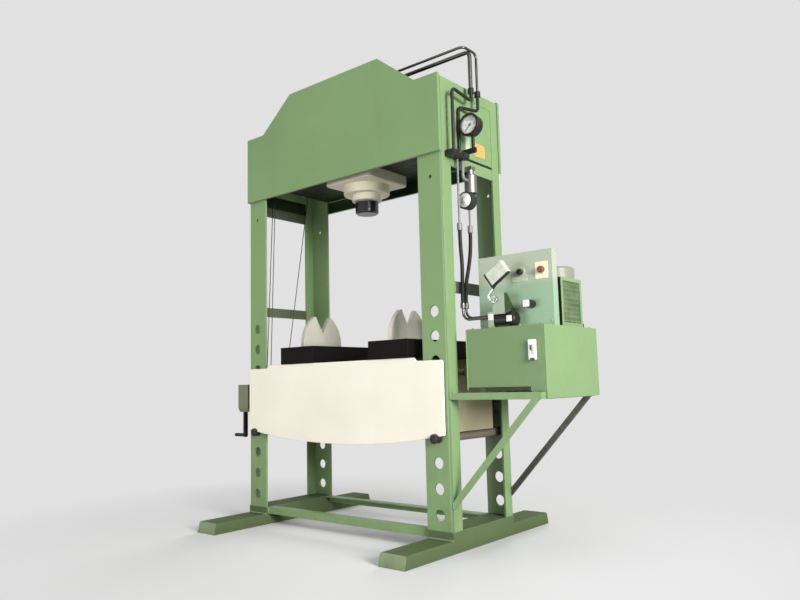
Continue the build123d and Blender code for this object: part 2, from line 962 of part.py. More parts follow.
# Winch: a gear pair in a folded cover, with the drum inside the front left column
def spur_gear(teeth, width, backlash):
    """A straight gear about Z with trapezoid teeth, its lower face at zero."""
    pitch_radius = gear_module * teeth / 2
    root = pitch_radius - gear_root_share * gear_module
    tip = pitch_radius + gear_tip_share * gear_module
    pitch_angle = 2 * pi / teeth
    half_tooth = pitch_angle / 4 - backlash / (4 * pitch_radius)
    widths = ((root, root_width_share), (tip, tip_width_share))
    points = []
    for tooth in range(teeth):
        middle = tooth * pitch_angle
        for side in (-1, 1):
            pairs = widths if side < 0 else widths[::-1]
            for radius, share in pairs:
                angle = middle + side * half_tooth * share
                points.append((radius * cos(angle), radius * sin(angle)))
    return extrude(make_face(Polyline(*points, close=True)), amount=width)


def along_x(part, x, y, z):
    """Lay a part made about Z along X, with its zero at x."""
    return Pos(x, y, z) * Rot(0, 90, 0) * part


def winch_cover_outline(inset):
    front = drum_y - winch_depth / 2 + inset
    rear = drum_y + winch_depth / 2 - inset
    low = winch_bottom + inset
    high = winch_top - inset
    narrow = winch_taper
    points = [
        (front + narrow, low), (rear - narrow, low),
        (rear, low + winch_corner_radius), (rear, high),
        (front, high), (front, low + winch_corner_radius),
    ]
    return Polyline(*points, close=True)


def x_rod(x0, x1, height, diameter):
    """A round bar along X on the winch's centre plane."""
    return rod((x0, drum_y, height), (x1, drum_y, height), diameter)


def make_winch():
    cover = plate_yz(winch_cover_outline(0), winch_outer, winch_inner)
    hollow = plate_yz(winch_cover_outline(winch_wall), winch_outer + winch_wall, winch_inner)
    cover -= hollow
    base = plate_yz(winch_cover_outline(0), winch_inner, winch_inner + winch_base)
    housing = cover + base
    drum_hole = drum_shaft_diameter + 2 * running_clearance
    crank_hole = crank_shaft_diameter + 2 * running_clearance
    boss_end = winch_inner - winch_boss
    housing += x_rod(boss_end, winch_inner, drum_height, 2 * drum_shaft_diameter)
    housing -= x_rod(boss_end - overrun, -half_width + overrun, drum_height, drum_hole)
    housing -= x_rod(winch_outer - overrun, winch_outer + winch_wall + overrun, crank_height, crank_hole)
    add("winch_housing", housing)
    gear = spur_gear(gear_teeth, gear_width, gear_backlash)
    gear_start = gear_centre_x - gear_width / 2
    half_pitch = 360 / gear_teeth / 2
    gear = along_x(Rot(0, 0, half_pitch) * gear, gear_start, drum_y, drum_height)
    shaft = x_rod(gear_start, drum_left + drum_length, drum_height, drum_shaft_diameter)
    spool = along_x(turned(drum_profile()), drum_left, drum_y, drum_height)
    add("winch_drum", gear + shaft + spool)
    pinion_width = gear_width + pinion_extra_width
    pinion = spur_gear(pinion_teeth, pinion_width, gear_backlash)
    pinion = along_x(pinion, gear_centre_x - pinion_width / 2, drum_y, crank_height)
    arm_inner = winch_outer - crank_arm_gap + crank_arm_thickness
    crank_shaft = x_rod(
        winch_outer - crank_arm_gap, gear_centre_x + pinion_width / 2, crank_height, crank_shaft_diameter
    )
    arm_round = arm_round_share * crank_arm_width
    arm = rounded_plate(crank_arm_length + crank_arm_width, crank_arm_width, crank_arm_thickness, arm_round)
    arm = Pos(crank_arm_length / 2) * arm
    arm = along_x(arm, arm_inner - crank_arm_thickness, drum_y, crank_height)
    grip_height = crank_height - crank_arm_length
    grip_end = arm_inner - crank_arm_thickness - crank_grip_length
    grip = x_rod(grip_end, arm_inner, grip_height, crank_grip_diameter)
    grip = chamfer(grip.edges().group_by(Axis.X)[0], crank_grip_diameter * grip_edge_share)
    add("winch_crank", pinion + crank_shaft + arm + grip)


def drum_profile():
    """The drum's section: two flanges and a ridge of rope turns between them."""
    core = drum_diameter / 2
    rim = drum_flange_diameter / 2
    inner_end = drum_length - drum_flange_width
    points = [(0, 0), (rim, 0), (rim, drum_flange_width)]
    turns = int((inner_end - drum_flange_width) / rope_diameter / drum_turn_share)
    step = (inner_end - drum_flange_width) / turns
    for turn in range(turns):
        start = drum_flange_width + turn * step
        points += [(core, start), (core + rope_diameter * drum_ridge_share, start + step / 2)]
    points += [(core, inner_end), (rim, inner_end), (rim, drum_length), (0, drum_length)]
    return points


# Pulleys, their pins and the lifting ropes
def pulley():
    """A grooved wheel about Z, centred on zero."""
    groove = pulley_diameter / 2
    rim = groove + pulley_rim_height
    half = pulley_width / 2
    half_rope = rope_diameter / 2
    bore = pulley_pin_diameter / 2 + running_clearance
    return turned([
        (bore, -half), (rim, -half), (groove, -half_rope),
        (groove, half_rope), (rim, half), (bore, half),
    ])


def headed_pin(length):
    """A pin from zero along Z that carries a pulley near its end, with a collar on each side."""
    pin = stud(pulley_pin_diameter, length)
    head = stud(pulley_head_diameter, pulley_head)
    inner_collar = length - pulley_head - pulley_width - 2 * rest_gap - pulley_head
    return pin + Pos(0, 0, length - pulley_head) * head + Pos(0, 0, inner_collar) * head


def make_pulleys():
    front_centre = rope_front_y + pulley_rope_radius
    rear_centre = rope_left_rear - pulley_rope_radius
    pin_length = end_plate_inner - rope_left_offset
    pin_length += pulley_width / 2 + rest_gap + pulley_head
    pins = []
    for name, y in (("pulley_left_front", front_centre), ("pulley_left_rear", rear_centre)):
        add(name, along_x(pulley(), -rope_left_offset, y, pulley_height))
        pins.append(along_x(headed_pin(pin_length), -end_plate_inner, y, pulley_height))
    cross_reach = pulley_width / 2 + rest_gap + pulley_head
    seat = -half_depth + column_wall
    turn = Rot(-90, 0, 0)
    for name, x in (("pulley_cross_left", cross_left_centre), ("pulley_cross_right", cross_right_centre)):
        add(name, Pos(x, rope_cross_setback, pulley_height) * turn * pulley())
        length = rope_cross_setback - seat + cross_reach
        pins.append(Pos(x, seat, pulley_height) * turn * headed_pin(length))
    add("pulley_pins", *pins)


def make_ropes():
    top = pulley_height + pulley_rope_radius
    left = -rope_left_offset
    rise_start = (left, drum_rope_y, drum_height)
    rear_centre = rope_left_rear - pulley_rope_radius
    fall_lean = lean_of_fall(rear_centre - rope_left_foot, pulley_height - rope_end_height)
    left_last = (
        left,
        rear_centre + pulley_rope_radius * cos(fall_lean),
        pulley_height - pulley_rope_radius * sin(fall_lean),
    )
    left_rope = rope_over(
        [rise_start, (left, rope_front_y, pulley_height)],
        [(left, rear_centre, top), left_last],
        (left, rope_front_y + pulley_rope_radius, top),
        (0, 1, 0),
        fall_lean,
    )
    cross = -rope_cross_offset
    cross_rope = rope_over(
        [(cross, drum_rope_y, drum_height), (cross, rope_cross_setback, pulley_height)],
        [(cross_right_centre, rope_cross_setback, top), (anchor_x, rope_cross_setback, pulley_height)],
        (cross_left_centre, rope_cross_setback, top),
        (1, 0, 0),
        0,
    )
    add("winch_ropes", *left_rope, *cross_rope)
    left_fall = rod((left, rope_left_foot, rope_end_height), left_last, rope_diameter)
    right_fall = rod(
        (anchor_x, rope_cross_setback, rope_end_height),
        (anchor_x, rope_cross_setback, pulley_height),
        rope_diameter,
    )
    floor_of_falls = block(
        -frame_width, frame_width, -frame_depth, frame_depth,
        rope_end_height, pulley_height + pulley_diameter,
    )
    add("rope_falls", left_fall & floor_of_falls, right_fall)


def lean_of_fall(run, drop):
    """The lean of a rope that leaves a pulley and ends a given run back and drop below its centre."""
    return atan2(run, drop) + asin(pulley_rope_radius / hypot(run, drop))


def rope_over(rise, exit_points, first_top, forward, extra_wrap):
    """One rope: a straight rise, a quarter turn over each of two pulleys and the level run between them."""
    (start, tangent), (second_top, last) = rise, exit_points
    lead = rod(start, tangent, rope_diameter)
    ahead = Vector(*forward)
    up = Vector(0, 0, 1)
    half_angle = cos(radians(45))
    first_centre = Vector(*first_top) - up * pulley_rope_radius
    second_centre = Vector(*second_top) - up * pulley_rope_radius
    first_middle = first_centre + (up - ahead) * pulley_rope_radius * half_angle
    half_wrap = (radians(90) - extra_wrap) / 2
    second_middle = second_centre + (up * sin(half_wrap) + ahead * cos(half_wrap)) * pulley_rope_radius
    path = ThreePointArc(tangent, first_middle, first_top)
    path += Line(first_top, second_top)
    path += ThreePointArc(second_top, second_middle, last)
    wire = Wire(path.edges())
    bend = sweep(Plane(origin=tangent, z_dir=(0, 0, 1)) * Circle(rope_diameter / 2), path=wire)
    return [lead & below(tangent[2]), bend]


def below(height):
    return block(-frame_width, frame_width, -frame_depth, frame_depth, 0, height)


# Pipes over the head and down its right end
def make_pipes():
    port = pressure_port_offset
    pressure = pipe(
        [
            (port, -port, barrel_top + port_height),
            (port, -port, pressure_run_height),
            (port + pipe_bend, pressure_drop_setback, pressure_run_height),
            (pipe_drop_offset, pressure_drop_setback, pressure_run_height),
            (pipe_drop_offset, pressure_drop_setback, pipe_junction_height),
        ],
        [port_bend, pipe_kink, pipe_bend],
        pressure_pipe_diameter,
    )
    diagonal = cos(radians(45)) * return_boss_reach
    rise = return_rise_offset
    returned = pipe(
        [
            (diagonal, -diagonal, return_port_height),
            (rise, -rise, return_port_height),
            (rise, -rise, return_run_height),
            (pipe_drop_offset, -rise, return_run_height),
            (pipe_drop_offset, return_drop_setback, return_run_height),
            (pipe_drop_offset, return_drop_setback, pipe_junction_height),
        ],
        [return_first_bend, pipe_bend, pipe_bend, pipe_bend],
        return_pipe_diameter,
    )
    add("steel_pipes", pressure, returned)
    half_junction = junction_height / 2
    junctions = []
    for setback in (pressure_drop_setback, return_drop_setback):
        base = (pipe_drop_offset, setback, pipe_junction_height - junction_height)
        head = (pipe_drop_offset, setback, pipe_junction_height)
        junctions.append(rod(base, head, junction_diameter))
    manifold = block(half_width, half_width + block_reach, block_front, block_rear, block_bottom, block_top)
    manifold = chamfer(manifold.edges().filter_by(Axis.Y), half_junction * block_edge_share)
    under = pipe_junction_height - junction_height
    outer_loop = pipe(
        [
            (pipe_drop_offset, pressure_drop_setback, under),
            (pipe_drop_offset, pressure_drop_setback, loop_upper_height - black_pipe_bend),
            (pipe_drop_offset, loop_front_setback, loop_upper_height),
            (pipe_drop_offset, loop_front_setback, block_top),
        ],
        [loop_bend, black_pipe_bend],
        black_pipe_diameter,
    )
    inner_loop = pipe(
        [
            (pipe_drop_offset, return_drop_setback, under),
            (pipe_drop_offset, return_drop_setback, loop_lower_height),
            (loop_inner_offset, loop_inner_setback, loop_lower_height),
            (loop_inner_offset, loop_inner_setback, block_top),
        ],
        [black_pipe_bend, black_pipe_bend],
        black_pipe_diameter,
    )
    feed = pipe(
        [
            (relief_offset, loop_inner_setback, block_bottom),
            (relief_offset, loop_inner_setback, feed_height),
            (relief_offset, relief_setback - relief_diameter / 2 + feed_seat, feed_height),
        ],
        [black_pipe_bend],
        black_pipe_diameter,
    )
    feed -= relief_valve()
    left_start, right_start = hose_route(hose_left_bends)[0], hose_route(hose_right_bends)[0]
    left_drop = rod(left_start, (*left_start[:2], block_bottom), thin_pipe_diameter)
    left_drop += hose_socket(left_start, hose_socket_length)
    right_drop = rod(right_start, (*right_start[:2], relief_knob_height), thin_pipe_diameter)
    right_drop = right_drop - relief_valve() + hose_socket(right_start, hose_socket_length)
    add("pipe_loop", *junctions, manifold, outer_loop, inner_loop, feed, left_drop, right_drop)


# Pressure gauge on a stem, with a pointer and a glass
def along_y(part, x, y, z):
    """Lay a part made about Z along Y, with its zero at y."""
    return Pos(x, y, z) * Rot(-90, 0, 0) * part


def make_gauge():
    radius = gauge_diameter / 2
    inner = radius - gauge_wall
    glass_seat = gauge_glass_depth + gauge_glass_thickness
    case = turned([
        (inner - gauge_rim, 0),
        (radius - gauge_rim_step, 0),
        (radius, gauge_rim_step),
        (radius, gauge_rim_length),
        (inner, gauge_rim_length + gauge_wall),
        (inner, gauge_depth),
        (0, gauge_depth),
        (0, gauge_dial_depth),
        (inner - gauge_wall, gauge_dial_depth),
        (inner - gauge_wall, glass_seat),
        (inner, glass_seat),
        (inner, gauge_glass_depth),
        (inner - gauge_rim, gauge_glass_depth),
    ])
    spindle_top = gauge_dial_depth - pointer_spindle
    spindle = Pos(0, 0, spindle_top) * stud(pointer_pin_diameter, pointer_spindle)
    body = along_y(case + spindle, gauge_offset, gauge_front, gauge_height)
    middle = gauge_front + gauge_depth - gauge_stem_diameter / 2 - gauge_wall
    stem_bottom = gauge_height - gauge_bracket_drop
    stem_top = gauge_height - inner + gauge_wall
    stem = rod((gauge_offset, middle, stem_bottom), (gauge_offset, middle, stem_top), gauge_stem_diameter)
    seat = block(
        end_plate_outer, gauge_offset + gauge_stem_diameter,
        middle - gauge_bracket / 2, middle + gauge_bracket / 2,
        stem_bottom, stem_bottom + gauge_bracket_height,
    )
    foot = block(
        end_plate_outer, end_plate_outer + gauge_foot,
        middle - gauge_bracket / 2, middle + gauge_bracket_height,
        stem_bottom, stem_bottom + gauge_bracket_height,
    )
    add("gauge_case", body + stem + seat + foot)
    glass = stud(2 * (inner - rest_gap), gauge_glass_thickness)
    add("gauge_glass", along_y(glass, gauge_offset, gauge_front + gauge_glass_depth, gauge_height))
    hub = stud(pointer_hub_diameter, pointer_thickness)
    tail = pointer_length * pointer_tail_share
    blade_outline = Polyline(
        (-pointer_width / 2, -tail),
        (pointer_width / 2, -tail),
        (pointer_width * pointer_tip_share, pointer_length),
        (-pointer_width * pointer_tip_share, pointer_length),
        close=True,
    )
    blade = extrude(make_face(blade_outline), amount=pointer_thickness)
    bore = stud(pointer_pin_diameter + 2 * running_clearance, overrun)
    needle = Rot(0, 0, pointer_rest_degrees) * (hub + blade - bore)
    needle_front = gauge_front + gauge_dial_depth - pointer_spindle
    add("gauge_pointer", along_y(needle, gauge_offset, needle_front, gauge_height))


# Relief valve under the head
def relief_knob():
    front = (relief_offset, relief_knob_front, relief_knob_height)
    back = (relief_offset, relief_knob_front + relief_knob_depth, relief_knob_height)
    return rod(front, back, relief_knob_diameter)


def relief_valve():
    tie_top = head_bottom - tie_drop
    tie_bottom = tie_top - tie_height
    profile = [
        (0, relief_bottom),
        (relief_diameter / 2 - gland_chamfer, relief_bottom),
        (relief_diameter / 2, relief_bottom + gland_chamfer),
        (relief_diameter / 2, relief_top - gland_chamfer),
        (relief_diameter / 2 - gland_chamfer, relief_top),
        (relief_neck_diameter / 2, relief_top),
        (relief_neck_diameter / 2, tie_bottom),
        (0, tie_bottom),
    ]
    body = Pos(relief_offset, relief_setback, 0) * turned(profile)
    half_neck = relief_neck_diameter / 2
    clamp = block(
        half_width, relief_offset + half_neck,
        relief_setback - half_neck, relief_setback + half_neck,
        tie_bottom, tie_bottom + relief_bracket_height,
    )
    throat = rod(
        (relief_offset, relief_setback, relief_knob_height),
        (relief_offset, relief_setback, relief_bottom + gland_chamfer),
        relief_neck_diameter,
    )
    elbow = rod(
        (relief_offset, relief_knob_front + relief_knob_depth, relief_knob_height),
        (relief_offset, relief_setback + half_neck, relief_knob_height),
        relief_neck_diameter,
    )
    return body + clamp + throat + elbow + relief_knob()


# Hoses, their sockets and the pipes to the hand valve
def hose_route(bends):
    """The corner points of a hose, from its top end to its low end."""
    height = hose_top - hose_low
    points = []
    for (reach, y), share in zip(bends, hose_height_shares):
        points.append((half_width + reach, y, hose_low + share * height))
    return points


def hose(route):
    """A free hose whose bends are as large as its runs allow."""
    points = [Vector(*point) for point in route]
    radii = []
    for before, here, after in zip(points, points[1:], points[2:]):
        first = here - before
        second = after - here
        half_turn = radians(first.get_angle(second)) / 2
        shorter = min(first.length, second.length)
        radii.append(hose_bend_share * shorter * cos(half_turn) / sin(half_turn))
    path = FilletPolyline(*points, radius=radii)
    section = Plane(origin=path @ 0, z_dir=path % 0) * Circle(hose_diameter / 2)
    return sweep(section, path=path)


def hose_socket(end, length):
    """A crimped sleeve that butts on one end of a hose."""
    x, y, z = end
    return rod(end, (x, y, z + length), hose_socket_diameter)


def make_hoses():
    left_route = hose_route(hose_left_bends)
    right_route = hose_route(hose_right_bends)
    add("hose_left", hose(left_route))
    add("hose_right", hose(right_route))
    ports = []
    port_x = port_block_left
    for route, setback, run in (
        (left_route, stub_left_setback, stub_left_run),
        (right_route, stub_right_setback, stub_right_run),
    ):
        x = route[-1][0]
        stub = pipe(
            [(x, setback, route[-1][2]), (x, setback, run), (port_x, setback, run)],
            [stub_bend],
            stub_diameter,
        )
        ports.append(stub + hose_socket(route[-1], -lower_socket_length))
    add("valve_pipes", *ports)


# Shelf: two angle bars, a cross bar and two braces
def angle_outline(corner_y, corner_z, toward):
    """An L section with its corner at the top, one leg down and one leg level."""
    return Polyline(
        (corner_y, corner_z),
        (corner_y + toward * shelf_bar, corner_z),
        (corner_y + toward * shelf_bar, corner_z - shelf_wall),
        (corner_y + toward * shelf_wall, corner_z - shelf_wall),
        (corner_y + toward * shelf_wall, corner_z - shelf_bar),
        (corner_y, corner_z - shelf_bar),
        close=True,
    )


def make_shelf():
    corner = half_depth - shelf_setback
    front = plate_yz(angle_outline(-corner, shelf_top, 1), half_width, shelf_reach)
    rear = plate_yz(angle_outline(corner, shelf_top, -1), half_width, shelf_reach)
    cross = block(
        shelf_reach - shelf_wall, shelf_reach,
        -corner, corner, shelf_top - shelf_bar, shelf_top,
    )
    low = brace_foot
    high = shelf_top - shelf_bar
    far = shelf_reach - brace_inset
    run = hypot(far - half_width, high - low)
    rise_per_length = (high - low) / run
    foot_cut = brace_width / rise_per_length
    strip = Polyline(
        (half_width, low),
        (far, high),
        (far - foot_cut, high),
        (half_width, low + brace_width * run / (far - half_width)),
        close=True,
    )
    brace_front = -corner
    brace = plate_xz(strip, brace_front, brace_front + brace_thickness)
    front_bar = front + brace
    rear_bar = rear + mirror_y(brace)
    add("shelf_frame", front_bar + cross + rear_bar)


# Tank on two foot bars, with its right wall reaching down past the shelf
def make_tank():
    right_inner = tank_right - tank_wall
    shell = block(tank_left, right_inner, tank_front, tank_rear, tank_bottom, tank_top)
    shell -= block(
        tank_left + tank_wall, right_inner - tank_wall,
        tank_front + tank_wall, tank_rear - tank_wall,
        tank_bottom + tank_wall, tank_top - tank_wall,
    )
    shell -= rod(
        (motor_offset, motor_setback, tank_top - tank_wall - overrun),
        (motor_offset, motor_setback, tank_top + overrun),
        pump_diameter + 2 * rest_gap,
    )
    skirt = block(right_inner, tank_right, tank_front, tank_rear, tank_skirt, tank_top)
    foot_left = tank_left + tank_foot_inset
    narrow_foot = block(
        foot_left, foot_left + tank_foot_width,
        tank_front + tank_foot_setback, tank_rear, shelf_top, tank_bottom,
    )
    wide_foot = block(
        right_inner - tank_wide_foot_width, right_inner,
        tank_front, tank_rear, shelf_top, tank_bottom,
    )
    add("tank", shell + skirt + narrow_foot + wide_foot)
    level = block(
        level_left, level_left + level_width,
        tank_front - level_depth, tank_front,
        level_bottom, level_bottom + level_height,
    )
    level = fillet(level.edges().filter_by(Axis.Y), level_corner_radius)
    window_left = level_left + (level_width - level_window_width) / 2
    window_bottom = level_bottom + (level_height - level_window_height) / 2
    level -= block(
        window_left, window_left + level_window_width,
        tank_front - level_depth - overrun, tank_front - level_depth + level_window_depth,
        window_bottom, window_bottom + level_window_height,
    )
    add("level_gauge", level)
    filler = turned([
        (0, tank_top),
        (filler_neck_diameter / 2, tank_top),
        (filler_neck_diameter / 2, tank_top + filler_neck_height),
        (filler_diameter / 2, tank_top + filler_neck_height),
        (filler_diameter / 2, tank_top + filler_neck_height + filler_height),
        (0, tank_top + filler_neck_height + filler_height),
    ])
    add("filler_cap", Pos(filler_offset, filler_setback, 0) * filler)


# Motor, pump and the shaft that runs through both
def make_motor():
    place = Pos(motor_offset, motor_setback, 0)
    shaft_hole = shaft_diameter / 2 + running_clearance
    body_radius = motor_diameter / 2
    cavity = motor_bore_diameter / 2
    body = turned([
        (shaft_hole, bell_top), (body_radius, bell_top),
        (body_radius, motor_top), (shaft_hole, motor_top),
        (shaft_hole, motor_top - motor_wall), (cavity, motor_top - motor_wall),
        (cavity, bell_top + motor_wall), (shaft_hole, bell_top + motor_wall),
    ])
    fin_bottom = bell_top + motor_wall
    fin_top = motor_top - motor_wall
    fin_root = body_radius - motor_fin_height
    for turn in PolarLocations(0, motor_fin_count):
        fin = block(
            fin_root, body_radius + motor_fin_height,
            -motor_fin_width / 2, motor_fin_width / 2,
            fin_bottom, fin_top,
        )
        body += turn * fin
    flange = block(
        -body_radius, body_radius, -body_radius, body_radius,
        bell_top, bell_top + motor_wall,
    ) & turned([
        (shaft_hole, bell_top), (bell_diameter / 2, bell_top),
        (bell_diameter / 2, bell_top + motor_wall), (shaft_hole, bell_top + motor_wall),
    ])
    add("motor_body", place * (body + flange))
    cowl_radius = cowl_diameter / 2
    inner = cowl_radius - cowl_wall
    cowl = turned([
        (body_radius, motor_top), (cowl_radius, motor_top),
        (cowl_radius, cowl_top - cowl_edge), (cowl_radius - cowl_edge, cowl_top),
        (0, cowl_top), (0, cowl_top - cowl_wall),
        (inner - cowl_edge, cowl_top - cowl_wall), (inner, cowl_top - cowl_edge),
        (inner, motor_top + cowl_wall), (body_radius, motor_top + cowl_wall),
    ])
    for turn in PolarLocations(0, cowl_slot_count):
        slot = block(
            cowl_radius * cowl_hub_share, cowl_radius * cowl_vent_share + cowl_edge,
            -cowl_slot_width / 2, cowl_slot_width / 2,
            cowl_top - cowl_wall - overrun, cowl_top + overrun,
        )
        cowl -= turn * slot
    seat_ring = turned([
        (fan_clear_share * body_radius, motor_top), (body_radius, motor_top),
        (body_radius, motor_top + cowl_wall), (fan_clear_share * body_radius, motor_top + cowl_wall),
    ])
    add("motor_cowl", place * (cowl + seat_ring))
    pump_top = tank_top - tank_wall
    pump_bottom = pump_top - pump_height
    bell_inner = bell_diameter / 2 - bell_wall
    housing = turned([
        (shaft_hole, tank_top), (bell_diameter / 2, tank_top), (bell_diameter / 2, bell_top),
        (shaft_hole, bell_top), (shaft_hole, bell_top - bell_wall), (bell_inner, bell_top - bell_wall),
        (bell_inner, tank_top + bell_wall), (shaft_hole, tank_top + bell_wall),
    ])
    barrel = turned([
        (shaft_hole, tank_top), (pump_diameter / 2, tank_top), (pump_diameter / 2, pump_bottom),
        (0, pump_bottom), (0, tank_top - pump_shaft_depth - rotor_gap),
        (shaft_hole, tank_top - pump_shaft_depth - rotor_gap),
    ])
    housing -= block(
        -coupling_diameter / 2, coupling_diameter / 2,
        -bell_diameter, bell_diameter,
        tank_top + bell_window_low, bell_top - bell_window_low,
    )
    strainer_top = pump_bottom - strainer_neck
    suction = Pos(0, 0, strainer_top) * stud(suction_diameter, strainer_neck)
    strainer = turned([
        (0, strainer_top - strainer_height),
        (strainer_diameter / 2, strainer_top - strainer_height),
        (strainer_diameter / 2, strainer_top),
        (0, strainer_top),
    ])
    add("pump", place * (housing + barrel + suction + strainer))
    shaft_bottom = tank_top - pump_shaft_depth
    fan_bottom = motor_top + cowl_wall + rotor_gap + fan_lift
    shaft = turned([
        (0, shaft_bottom), (shaft_diameter / 2, shaft_bottom),
        (shaft_diameter / 2, fan_bottom + fan_height), (0, fan_bottom + fan_height),
    ])
    coupling_bottom = tank_top + bell_wall + rotor_gap
    coupling = turned([
        (0, coupling_bottom), (coupling_diameter / 2, coupling_bottom),
        (coupling_diameter / 2, coupling_bottom + coupling_height), (0, coupling_bottom + coupling_height),
    ])
    core = turned([
        (0, bell_top + motor_wall + rotor_gap), (cavity - rotor_gap, bell_top + motor_wall + rotor_gap),
        (cavity - rotor_gap, motor_top - motor_wall - rotor_gap), (0, motor_top - motor_wall - rotor_gap),
    ])
    rotor = shaft + coupling + core
    for turn in PolarLocations(0, fan_blade_count):
        rotor += turn * block(
            0, fan_diameter / 2,
            -fan_blade / 2, fan_blade / 2,
            fan_bottom, fan_bottom + fan_height,
        )
    add("motor_rotor", place * rotor)


def make_starter():
    """A switch box beside the motor with a recessed slatted cover."""
    box = block(starter_left, starter_right, starter_front, starter_rear, tank_top, starter_top)
    box = fillet(box.edges().filter_by(Axis.X), starter_corner_radius)
    recess_low = tank_top + starter_rim
    recess_high = starter_top - starter_rim
    box -= block(
        starter_right - starter_recess, starter_right + overrun,
        starter_front + starter_rim, starter_rear - starter_rim,
        recess_low, recess_high,
    )
    pitch = (recess_high - recess_low) / starter_slat_count
    for index in range(starter_slat_count):
        low = recess_low + index * pitch + (pitch - starter_slat_height) / 2
        slat = Polyline(
            (starter_right - starter_recess, low),
            (starter_right - starter_recess * slat_reach_share, low),
            (starter_right - starter_recess, low + starter_slat_height),
            close=True,
        )
        box += plate_xz(slat, starter_front + starter_rim, starter_rear - starter_rim)
    add("starter_box", box)


# Control panel with its buttons and selector
def y_rod(x, y0, y1, height, diameter):
    return rod((x, y0, height), (x, y1, height), diameter)


def make_panel():
    panel = block(panel_left, panel_right, panel_front, panel_front + panel_depth, tank_top, panel_top)
    panel = fillet(panel.edges().filter_by(Axis.Y).group_by(Axis.Z)[-1], panel_corner_radius)
    stem_hole = button_stem_diameter + 2 * running_clearance
    for x in (start_offset, stop_offset):
        collar = rod(
            (x, panel_front - button_collar, button_level),
            (x, panel_front, button_level),
            button_collar_diameter,
        )
        panel += collar
        panel -= rod(
            (x, panel_front - button_collar - overrun, button_level),
            (x, panel_front + button_stem + button_travel, button_level),
            stem_hole,
        )
    panel -= rod(
        (selector_offset, panel_front - overrun, selector_level),
        (selector_offset, panel_front + selector_stem + rest_gap, selector_level),
        selector_stem_diameter + 2 * running_clearance,
    )
    add("control_panel", panel)
    for name, x in (("start_button", start_offset), ("stop_button", stop_offset)):
        rest = panel_front - button_collar - button_travel - rest_gap
        cap = y_rod(x, rest - button_height, rest, button_level, button_diameter)
        cap = fillet(cap.edges().group_by(Axis.Y)[0], button_height * button_round_share)
        stem = y_rod(x, rest, panel_front + button_stem - rest_gap, button_level, button_stem_diameter)
        add(name, cap + stem)
    face = panel_front - rest_gap
    body = y_rod(selector_offset, face - selector_length, face, selector_level, selector_diameter)
    half_grip = selector_grip / 2
    grip = block(
        selector_offset - half_grip, selector_offset + half_grip,
        face - selector_length - selector_grip_depth, face - selector_length,
        selector_level - half_grip, selector_level + half_grip,
    )
    grip = fillet(grip.edges().filter_by(Axis.Y), selector_grip * grip_corner_share)
    stem = y_rod(selector_offset, face, panel_front + selector_stem, selector_level, selector_stem_diameter)
    add("selector_knob", body + grip + stem)


# Hand valve on the tank in front of the panel, with its lever
def make_hand_valve():
    axis_height = tank_top + valve_diameter / 2
    valve_right = valve_left + valve_length
    half_body = valve_diameter / 2
    body_start = (valve_left, valve_setback, axis_height)
    plain_body = rod(body_start, (valve_right, valve_setback, axis_height), valve_diameter)
    body = fillet(plain_body.edges().group_by(Axis.X)[-1], half_body * valve_nose_share)
    saddle = block(
        valve_left, valve_left + valve_length * saddle_share,
        valve_setback - half_body * saddle_share, valve_setback + half_body * saddle_share,
        tank_top, axis_height,
    )
    half_eye = valve_eye / 2
    eye = block(
        valve_eye_offset - half_eye, valve_eye_offset + half_eye,
        valve_setback - half_body - valve_eye_depth, valve_setback,
        axis_height - half_eye, axis_height + half_eye,
    )
    block_low = tank_top + valve_diameter
    block_front_face = valve_setback - valve_block_depth / 2
    block_rear_face = valve_setback + valve_block_depth / 2
    wedge = Polyline(
        (block_front_face, block_low - manifold_seat),
        (block_front_face, block_low + valve_block_height),
        (block_front_face + valve_block_crest, block_low + valve_block_height),
        (panel_front, block_low + valve_block_heel),
        (panel_front, block_low),
        (block_rear_face, block_low),
        (block_rear_face, block_low - manifold_seat),
        close=True,
    )
    manifold = plate_yz(wedge, valve_block_left, valve_block_left + valve_block_width)
    manifold = manifold + pipe_block(block_front_face, axis_height) - plain_body
    pivot_front = block_front_face - lever_gap - lever_thickness - rest_gap
    pivot = y_rod(lever_pivot_offset, pivot_front, block_front_face, lever_pivot_height, lever_pin_diameter)
    cap_front = pivot_front - lever_pin_cap
    cap = y_rod(lever_pivot_offset, cap_front, pivot_front, lever_pivot_height, lever_pin_head)
    add("valve_body", body + saddle + eye)
    add("valve_block", manifold + pivot + cap)
    lever_back = block_front_face - lever_gap
    make_lever(lever_back - lever_thickness, lever_back)


def pipe_block(front_face, axis_height):
    """The part of the manifold that reaches down to take the two pipes from the hoses."""
    return block(
        port_block_left, valve_left,
        front_face, panel_front,
        tank_top, axis_height + valve_diameter / 2,
    )


